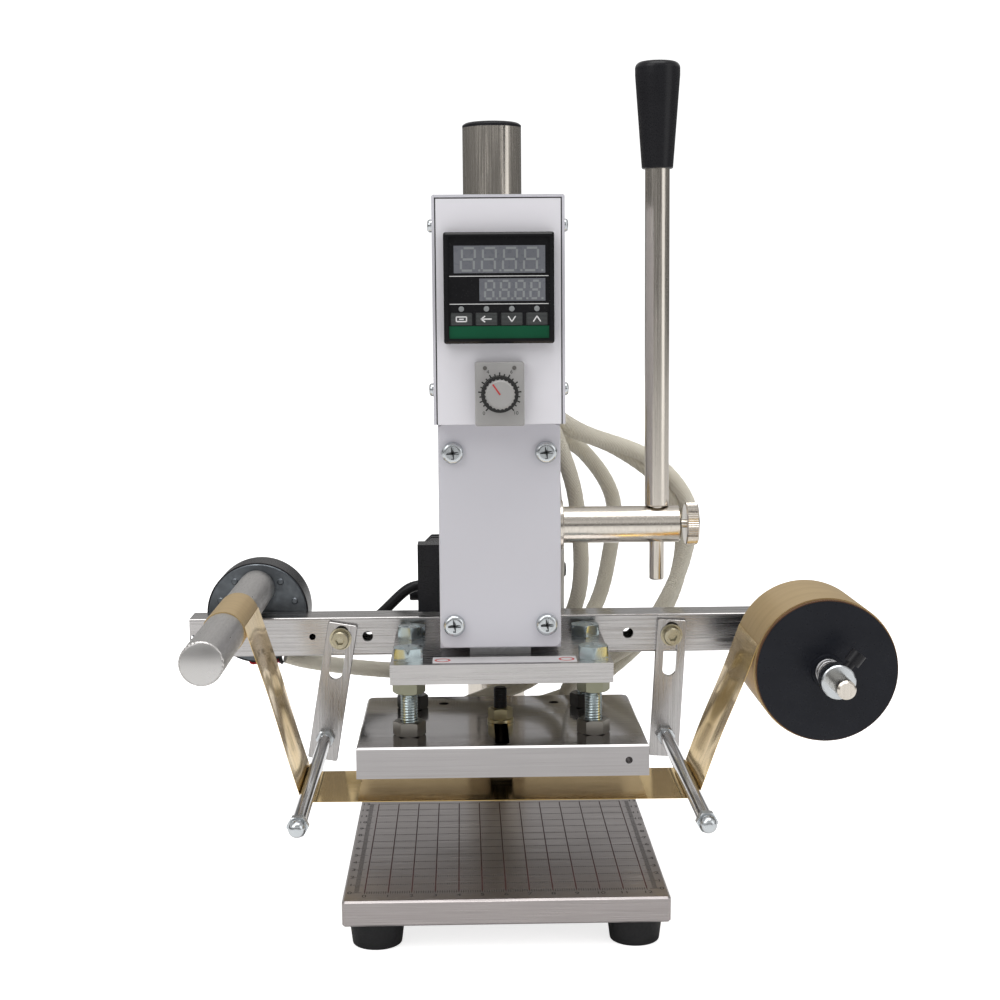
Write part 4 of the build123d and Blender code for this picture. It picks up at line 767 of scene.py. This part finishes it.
def add_hex_head(bm, centre, flats, height):
    """A hexagon head with turned corners and three raised marks, standing on its centre point."""
    half = flats / 2
    corner = half / math.cos(math.pi / 6)
    segments = 48
    rings = []
    for share, scale in ((0, 0.97), (0.06, 1.0), (0.86, 1.0), (1.0, 0.93)):
        ring = []
        for i in range(segments):
            angle = 2 * math.pi * i / segments
            from_flat = (angle + math.pi / 6) % (math.pi / 3) - math.pi / 6
            r = min(half / math.cos(from_flat), corner * scale)
            ring.append(bm.verts.new((centre[0] + r * math.cos(angle), centre[1] + r * math.sin(angle),
                                      centre[2] + share * height)))
        rings.append(ring)
    skin(bm, rings)
    mark_in, mark_out, mark_r = 2.2 * MM, 4.6 * MM, 0.3 * MM
    top = Vector(centre) + Vector((0, 0, height - 0.02 * MM))
    for i in range(3):
        angle = math.pi / 2 + 2 * math.pi * i / 3
        direction = Vector((math.cos(angle), math.sin(angle), 0))
        add_tube(bm, [top + direction * mark_in, top + direction * mark_out], mark_r, 6)


bm = bmesh.new()
for place in bolt_places:
    add_thread(bm, place, bolts_lo.z, plate_lo.z + 1 * MM, M8_R, M8_PITCH)
make("bolt_threads", bm, "blue_zinc", "carriage")

bm = bmesh.new()
for place in bolt_places:
    add_hex_head(bm, (*place, plate_hi.z), HEAD_FLATS, HEAD_HEIGHT)
heads = make("bolt_heads", bm, "blue_zinc", "carriage")
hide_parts("hex_bolts")

bm = bmesh.new()
stud_mid, stud_top = middle("die_clamp"), high("die_clamp").z - 0.3 * MM
stud_r, stud_pitch = 3.22 * MM, 1 * MM
add_thread(bm, (stud_mid.x, stud_mid.y), stud_bottom, stud_top, stud_r, stud_pitch)
make("die_stud_thread", bm, "black_oxide", "die_clamp")

# painted shade: dark crosses set inside the cross recesses of the four cover screws, for the shade in the
# recesses
cross_lo, cross_hi = low("cover_screws"), high("cover_screws")
cross_in, cross_reach, cross_w, cross_t, cross_turn = 5 * MM, 2.7 * MM, 1.0 * MM, 1.2 * MM, 0.35
cross_back = cross_lo.y + 0.25 * MM + cross_t
bm = bmesh.new()
for x in (cross_lo.x + cross_in, cross_hi.x - cross_in):
    for z in (cross_lo.z + cross_in, cross_hi.z - cross_in):
        for turn in (cross_turn, cross_turn + math.pi / 2):
            dx, dz = cross_reach * math.cos(turn), cross_reach * math.sin(turn)
            add_stroke(bm, x - dx, z - dz, x + dx, z + dz, cross_w, cross_back, cross_t)
make("screw_cross_shade", bm, "recess_shade", "head", smooth=False)


# ---------------------------------------------------------------- foil
FILM = 0.15 * MM
web_r = rod_r + 0.25 * MM                       # middle of the film where it passes a guide rod
wrap_r = roller_r + 0.6 * MM
left_c, right_c = (rod_left.x, rod_left.z), (rod_right.x, rod_right.z)
roller_c, reel_c = (roller_mid.x, roller_mid.z), (reel_mid.x, reel_mid.z)


def tangent_line(centre_a, radius_a, centre_b, radius_b):
    """Ends, in X and Z, of the straight between two circles; a negative radius passes on the other side."""
    dx, dz = centre_b[0] - centre_a[0], centre_b[1] - centre_a[1]
    span = math.hypot(dx, dz)
    along = (radius_a - radius_b) / span
    across = math.sqrt(1 - along * along)
    nx = along * dx / span - across * dz / span
    nz = along * dz / span + across * dx / span
    return ((centre_a[0] + radius_a * nx, centre_a[1] + radius_a * nz),
            (centre_b[0] + radius_b * nx, centre_b[1] + radius_b * nz))


def arc_points(centre, start, end, radius, steps=8):
    """Points on a circle between start and end, by the shorter way."""
    a = math.atan2(start[1] - centre[1], start[0] - centre[0])
    b = math.atan2(end[1] - centre[1], end[0] - centre[0])
    turn = (b - a + math.pi) % (2 * math.pi) - math.pi
    return [(centre[0] + radius * math.cos(a + turn * k / steps),
             centre[1] + radius * math.sin(a + turn * k / steps)) for k in range(1, steps)]


def straight(a, b, steps=16):
    """Evenly spaced points from a to b, both included."""
    return [(a[0] + (b[0] - a[0]) * k / steps, a[1] + (b[1] - a[1]) * k / steps) for k in range(steps + 1)]


def film_piece(name, line, wave=0.0):
    """A thin closed ribbon along points in X and Z, as wide as the foil."""
    columns = 12
    last = len(line) - 1
    bm = bmesh.new()
    sheets = []
    for side in (-1, 1):
        grid = []
        for i, (x, z) in enumerate(line):
            ahead, behind = line[min(i + 1, last)], line[max(i - 1, 0)]
            run = Vector((ahead[0] - behind[0], 0, ahead[1] - behind[1])).normalized()
            out = Vector((-run.z, 0, run.x))
            row = []
            for k in range(columns + 1):
                share = k / columns
                bow = wave * math.sin(math.pi * i / last) * math.sin(2.2 * math.pi * share + i * 0.25)
                point = Vector((x, foil_front + (foil_back - foil_front) * share, z))
                row.append(bm.verts.new(point + out * (side * FILM / 2 + bow)))
            grid.append(row)
        sheets.append(grid)
    lower, upper = sheets
    for i in range(last):
        for grid in sheets:
            for k in range(columns):
                bm.faces.new((grid[i][k], grid[i + 1][k], grid[i + 1][k + 1], grid[i][k + 1]))
        for k in (0, columns):
            bm.faces.new((lower[i][k], lower[i + 1][k], upper[i + 1][k], upper[i][k]))
    for i in (0, last):
        for k in range(columns):
            bm.faces.new((lower[i][k], lower[i][k + 1], upper[i][k + 1], upper[i][k]))
    obj = make(name, bm, "gold_foil", None)
    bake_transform(obj)
    return obj


down_a, down_b = tangent_line(roller_c, wrap_r, left_c, -web_r)
flat_a, flat_b = tangent_line(left_c, -web_r, right_c, -web_r)
up_a, up_b = tangent_line(right_c, -web_r, reel_c, reel_r + 0.2 * MM)
web_mid = ((flat_a[0] + flat_b[0]) / 2, (flat_a[1] + flat_b[1]) / 2)
slack = 0.5 * MM
left_line = [down_b] + arc_points(left_c, down_b, flat_a, web_r) + straight(flat_a, web_mid)
right_line = straight(web_mid, flat_b) + arc_points(right_c, flat_b, up_a, web_r) + [up_a]
foil_down = film_piece("foil_down", straight(down_a, down_b), slack)
film_piece("foil_left", left_line)
film_piece("foil_right", right_line)
film_piece("foil_up", straight(up_a, up_b, 20), slack)
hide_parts("foil_web")

# The film's end is wound on the knurled roller and stuck down over itself.
bm = bmesh.new()
clear, wound, lap = 0.02 * MM, 0.3 * MM, 0.15 * MM
segments, lap_from, lap_to = 64, 0.15, 0.42     # the lap's ends as shares of a turn
layers = []
for y, swell in ((foil_front, 0), (foil_front, wound), (foil_back, wound), (foil_back, 0)):
    layer = []
    for i in range(segments):
        angle = 2 * math.pi * i / segments
        r = roller_r + clear + swell
        if swell and lap_from < i / segments < lap_to:
            r += lap
        x, z = roller_mid.x + r * math.cos(angle), roller_mid.z + r * math.sin(angle)
        layer.append(bm.verts.new((x, y, z)))
    layers.append(layer)
skin(bm, layers + layers[:1], capped=False)
make("foil_wrap", bm, "gold_satin", "takeup_roller")


# ---------------------------------------------------------------- sleeves, leads, cord and plug
# Paths are points in millimetres. Leads that join the head and the carriage ride on neither body.
SLEEVE_RIPPLE = 0.012


def lead(name, points, radius, material, bodies):
    """A flexible round lead riding on one body, or on no body when it joins two."""
    bm = bmesh.new()
    path = smooth_path([Vector(point) * MM for point in points])
    add_tube(bm, path, radius * MM, 18, SLEEVE_RIPPLE if material == "sleeve" else 0.0)
    obj = make(name, bm, material, bodies[0] if len(bodies) == 1 else None)
    if len(bodies) == 2:
        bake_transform(obj)
    return obj


outer_sleeve = lead("sleeve_outer",
                    [(24, 64, 196), (34, 66, 187), (62, 71, 175), (86, 75, 156), (96, 78, 130), (91, 79, 100),
                     (76, 78, 76), (48, 72, 54), (26, 66, 46), (16, 60, 46), (16, 53, 46)],
                    4.1, "sleeve", ("head", "carriage"))
lead("sleeve_inner",
     [(15, 64, 196), (24, 68, 187), (46, 82, 172), (61, 91, 148), (60, 93, 120), (50, 88, 88), (22, 78, 58),
      (-6, 70, 48), (-16, 62, 46), (-16, 53, 46)],
     4.0, "sleeve", ("head", "carriage"))
lead("sleeve_third",
     [(25, 56, 196), (44, 60, 184), (78, 68, 170), (98, 72, 146), (96, 74, 118), (84, 72, 92), (70, 68, 76),
      (40, 64, 58), (34, 60, 46), (33, 54, 46)],
     3.9, "sleeve", ("head", "carriage"))
lead("probe_lead",
     [(27, 60, 196), (30, 61, 176), (33, 63, 130), (33, 64, 96), (34, 66, 74), (38, 64, 56), (37, 58, 47),
      (35, 53, 46)],
     1.2, "wire_white", ("head", "carriage"))
lead("motor_sleeve",
     [(-108, 74, 70), (-98, 77, 66.5), (-78, 76, 63.5), (-50, 71, 62), (-22, 68, 63), (6, 70, 66),
      (28, 72, 74), (42, 66, 104), (40, 60, 150), (30, 54, 182), (22, 50, 196)],
     4.0, "sleeve", ("carriage", "head"))
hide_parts("lead_sleeves")

motor_x = roller_mid.x
motor_z = low("takeup_motor").z + 25 * MM
wire_x, wire_z = motor_x / MM, motor_z / MM - 24.4
wires = ((-6, "wire_red"), (-2, "ink_black"), (2, "wire_blue"), (6, "wire_red"), (9, "ink_black"))
for i, (dx, colour) in enumerate(wires):
    points = [(wire_x + dx, 72 - (i % 2) * 3, wire_z), (wire_x + dx + 1, 72 - (i % 2) * 3, wire_z - 4),
              (wire_x + 6 + dx * 0.3, 74, 68), (wire_x + 10, 75, 66)]
    lead("motor_wire_%d" % i, points, 0.8, colour, ("carriage",))

lead("cord",
     [(-37, 74, 106), (-46, 74, 103), (-60, 76, 90), (-71, 84, 81), (-70, 104, 78), (-52, 124, 76),
      (-26, 134, 72), (-8, 137, 62), (-1, 138, 44), (0, 138, 20), (0, 138, -12)],
     2.7, "black_plastic", ("head",))

# moulded plug: nine slices, with grip grooves in the rear ones
inlet_lo, inlet_hi = low("mains_inlet"), high("mains_inlet")
plug_front, plug_back, margin = inlet_hi.y + 0.1 * MM, 84 * MM, 1 * MM
SLICES, first_groove, groove, corner_cut = 9, 5, 0.7 * MM, 5 * MM
slice_t = (plug_back - plug_front) / SLICES
bm = bmesh.new()
for k in range(SLICES):
    inset = margin + (groove if k % 2 and k >= first_groove else 0)
    x0, x1 = inlet_lo.x + inset, inlet_hi.x - inset
    z0, z1 = inlet_lo.z + inset, inlet_hi.z - inset
    outline = [(x0, z0), (x1, z0), (x1, z1), (x0 + corner_cut, z1), (x0, z1 - corner_cut)]
    y = plug_front + k * slice_t
    add_prism(bm, [(x, y, z) for x, z in outline], (0, slice_t, 0))
plug = make("mains_plug", bm, "black_plastic", "head", smooth=False)
bevel = plug.modifiers.new("soft_edges", "BEVEL")
bevel.width = 0.4 * MM
bevel.segments = 2
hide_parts("mains_cord")


# ---------------------------------------------------------------- motor, roller and reel details
bm = bmesh.new()
add_turned(bm, band(23.6 * MM, 25.3 * MM, 21 * MM), (motor_x, 58.4 * MM, motor_z), TO_BACK, 72)
make("motor_rim", bm, "black_plastic", "carriage")

bm = bmesh.new()
DIMPLES, dimple_circle, dimple_y, first_dimple = 10, 19.5 * MM, 58 * MM, 0.3
for i in range(DIMPLES):
    angle = 2 * math.pi * i / DIMPLES + first_dimple
    spot = (motor_x + dimple_circle * math.cos(angle), dimple_y, motor_z + dimple_circle * math.sin(angle))
    add_turned(bm, [(0, 0), (1.7 * MM, 0), (1.2 * MM, 0.5 * MM), (0, 0.6 * MM)], spot, TO_FRONT, 16)
make("motor_dimples", bm, "motor_metal", "carriage")

bm = bmesh.new()
face_r, face_t = 8.3 * MM, 0.25 * MM
end_profile = [(0, 0), (face_r, 0), (face_r, 0.1 * MM), (face_r - 0.3 * MM, face_t), (0, face_t)]
add_turned(bm, end_profile, (roller_mid.x, low("takeup_roller").y, roller_mid.z), TO_FRONT, 72)
make("roller_end", bm, "turned_end", "takeup_roller")

# lock knob: a ridged rim on a threaded shank
knob_mid = middle("lock_knob")
KNOB_T, SHANK_R, SHANK_LENGTH, TEETH = 6, 2.05 * MM, 9.9 * MM, 64
rim_r, bevel_r, bevel_t, ridge_out, ridge_in = 10.0, 9.4, 0.6, 0.15, 0.2        # millimetres
rim_start = high("lock_knob").x - KNOB_T * MM
rim_levels = ((0, bevel_r, 0), (bevel_t, rim_r, 1), (KNOB_T - bevel_t, rim_r, 1), (KNOB_T, bevel_r, 0))
bm = bmesh.new()
rings = []
for x, r, ridged in rim_levels:
    ring = []
    for i in range(TEETH * 2):
        ridge_r = (r + (ridge_out if i % 2 else -ridge_in) * ridged) * MM
        angle = math.pi * i / TEETH
        ring.append(bm.verts.new((rim_start + x * MM, knob_mid.y + ridge_r * math.cos(angle),
                                  knob_mid.z + ridge_r * math.sin(angle))))
    rings.append(ring)
skin(bm, rings)
add_turned(bm, [(0, 0), (SHANK_R, 0), (SHANK_R, SHANK_LENGTH), (0, SHANK_LENGTH)],
           (low("lock_knob").x, knob_mid.y, knob_mid.z), TO_RIGHT, 24)
knob = make("knurled_knob", bm, "nickel", "lock_knob")
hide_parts("lock_knob")

flange_front = low("reel_flanges").y
bm = bmesh.new()
add_turned(bm, band(30.2 * MM, 30.9 * MM, 2.6 * MM), (reel_mid.x, flange_front + 0.4 * MM, reel_mid.z),
           TO_BACK, 96)
make("reel_rim", bm, "reel_brown", "supply_reel")

bm = bmesh.new()
bore_r, boss_r = 4.3 * MM, 7.4 * MM
boss = [(bore_r, 0), (boss_r, 0), (boss_r - 0.4 * MM, 0.8 * MM), (bore_r, 0.9 * MM), (bore_r, 0)]
add_turned(bm, boss, (reel_mid.x, flange_front, reel_mid.z), TO_FRONT, 48)
make("reel_boss", bm, "reel_black", "supply_reel")


# ---------------------------------------------------------------- return spring inside the ram
spring_lo, spring_hi, spring_mid = low("return_spring"), high("return_spring"), middle("return_spring")
wire_r, coil_turns, coil_steps = 0.8 * MM, 9, 24
coil_r = (spring_hi.x - spring_lo.x) / 2 - wire_r
coil_rise = spring_hi.z - spring_lo.z - 2 * wire_r
coil = []
for i in range(coil_turns * coil_steps + 1):
    angle = 2 * math.pi * i / coil_steps
    share = i / (coil_turns * coil_steps)
    coil.append(Vector((spring_mid.x + coil_r * math.cos(angle), spring_mid.y + coil_r * math.sin(angle),
                        spring_lo.z + wire_r + coil_rise * share)))
bm = bmesh.new()
add_tube(bm, coil, wire_r, 10)
spring_coil = make("spring_coil", bm, "steel", "head")
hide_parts("return_spring")
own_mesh(spring_coil)


# ---------------------------------------------------------------- blank label on the upper plate
label_left, label_right = -31 * MM, 34 * MM
label_front, label_back = plate_lo.y + 3 * MM, plate_lo.y + 16 * MM
label_top = plate_hi.z + 0.12 * MM
bm = bmesh.new()
add_box(bm, (label_left, label_front, plate_hi.z), (label_right, label_back, label_top))
make("blank_label", bm, "label_grey", "carriage", smooth=False)

bm = bmesh.new()
mark_in, mark_y = 4.5 * MM, plate_lo.y + 9 * MM
for x in (label_left + mark_in, label_right - mark_in):
    add_turned(bm, band(2.7 * MM, 3.6 * MM, 0.06 * MM), (x, mark_y, label_top), TO_TOP, 32)
make("label_marks", bm, "ink_signal", "carriage", smooth=False)


# ---------------------------------------------------------------- floor, light and camera
floor_mat = Shader("floor", cube(0.94), 0.6)
to_camera = floor_mat.tree.nodes.new("ShaderNodeLightPath").outputs["Is Camera Ray"]
glow = floor_mat.span(to_camera, 0.05, 0.75, 0.0, 1.0)
floor_mat.bsdf.inputs["Emission Color"].default_value = (1, 1, 1, 1)
floor_mat.link(glow, floor_mat.bsdf.inputs["Emission Strength"])
floor_mat.tint(floor_mat.noise(cube(3), 2.0), cube(0.90), 0.3)
bm = bmesh.new()
FLOOR_HALF = 6
floor_place = Matrix.Translation((0, 0, low("rubber_feet").z))
bmesh.ops.create_grid(bm, x_segments=2, y_segments=2, size=FLOOR_HALF, matrix=floor_place)
mesh = bpy.data.meshes.new("floor")
bm.to_mesh(mesh)
bm.free()
floor = bpy.data.objects.new("floor", mesh)
bpy.context.scene.collection.objects.link(floor)
mesh.materials.append(floor_mat.mat)

# A studio room for reflections: brightness by height, from the floor below to the ceiling above. The camera
# itself sees plain white.
ROOM_STOPS = ((0.0, 0.55), (0.42, 0.62), (0.50, 0.16), (0.57, 0.22), (0.66, 0.95), (0.82, 0.60), (1.0, 1.0))
ROOM_STRENGTH, BACKDROP_WHITE = 0.8, 1.4
world = bpy.data.worlds.new("studio")
bpy.context.scene.world = world
world.use_nodes = True
tree = world.node_tree
backdrop = tree.nodes["Background"]
backdrop.inputs["Strength"].default_value = ROOM_STRENGTH
split = tree.nodes.new("ShaderNodeSeparateXYZ")
tree.links.new(tree.nodes.new("ShaderNodeTexCoord").outputs["Generated"], split.inputs["Vector"])
height = tree.nodes.new("ShaderNodeMapRange")
height.inputs["From Min"].default_value = -1.0
tree.links.new(split.outputs["Z"], height.inputs["Value"])
room = tree.nodes.new("ShaderNodeValToRGB")
elements = room.color_ramp.elements
elements[0].position, elements[1].position = ROOM_STOPS[0][0], ROOM_STOPS[-1][0]
for position, _ in ROOM_STOPS[1:-1]:
    elements.new(position)
for element, (_, grey) in zip(elements, ROOM_STOPS):
    element.color = (grey, grey * 0.99, grey * 0.98, 1)
tree.links.new(height.outputs["Result"], room.inputs["Fac"])
seen = tree.nodes.new("ShaderNodeMix")
seen.data_type = "RGBA"
seen.inputs["B"].default_value = (*cube(BACKDROP_WHITE), 1)
tree.links.new(tree.nodes.new("ShaderNodeLightPath").outputs["Is Camera Ray"], seen.inputs["Factor"])
tree.links.new(room.outputs["Color"], seen.inputs["A"])
tree.links.new(seen.outputs["Result"], backdrop.inputs["Color"])

AIM = Vector((0, 0, 0.2))
# each soft rectangular lamp: name, place, width and height, power in watts
LAMPS = (("key", (-0.9, -0.9, 1.1), (0.9, 0.9), 5.5),
         ("fill", (1.2, -0.8, 0.6), (0.8, 1.2), 3),
         ("top", (0, -0.3, 1.5), (1.2, 0.8), 10))
for name, place, size, power in LAMPS:
    light = bpy.data.lights.new(name, "AREA")
    light.shape = "RECTANGLE"
    light.size, light.size_y = size
    light.energy = power
    lamp = bpy.data.objects.new(name, light)
    lamp.location = place
    lamp.rotation_euler = (AIM - Vector(place)).to_track_quat("-Z", "Y").to_euler()
    bpy.context.scene.collection.objects.link(lamp)

bpy.context.scene.view_settings.view_transform = "Standard"
EYE_AHEAD, EYE_UP, EYE_SIDE = 0.787, 0.2455, -0.0165
PITCH, ROLL, YAW = 6.4, -0.46, -1.25            # degrees: looking down, tilting, turning right
LENS, SENSOR = 61.3, 36                         # millimetres
camera_data = bpy.data.cameras.new("camera")
camera_data.lens = LENS
camera_data.sensor_width = SENSOR
camera = bpy.data.objects.new("camera", camera_data)
camera.location = (EYE_SIDE, -EYE_AHEAD, EYE_UP)
camera.rotation_euler = (Matrix.Rotation(math.radians(YAW), 3, "Z")
                         @ Matrix.Rotation(math.radians(90 - PITCH), 3, "X")
                         @ Matrix.Rotation(math.radians(ROLL), 3, "Z")).to_euler()
bpy.context.scene.collection.objects.link(camera)
bpy.context.scene.camera = camera
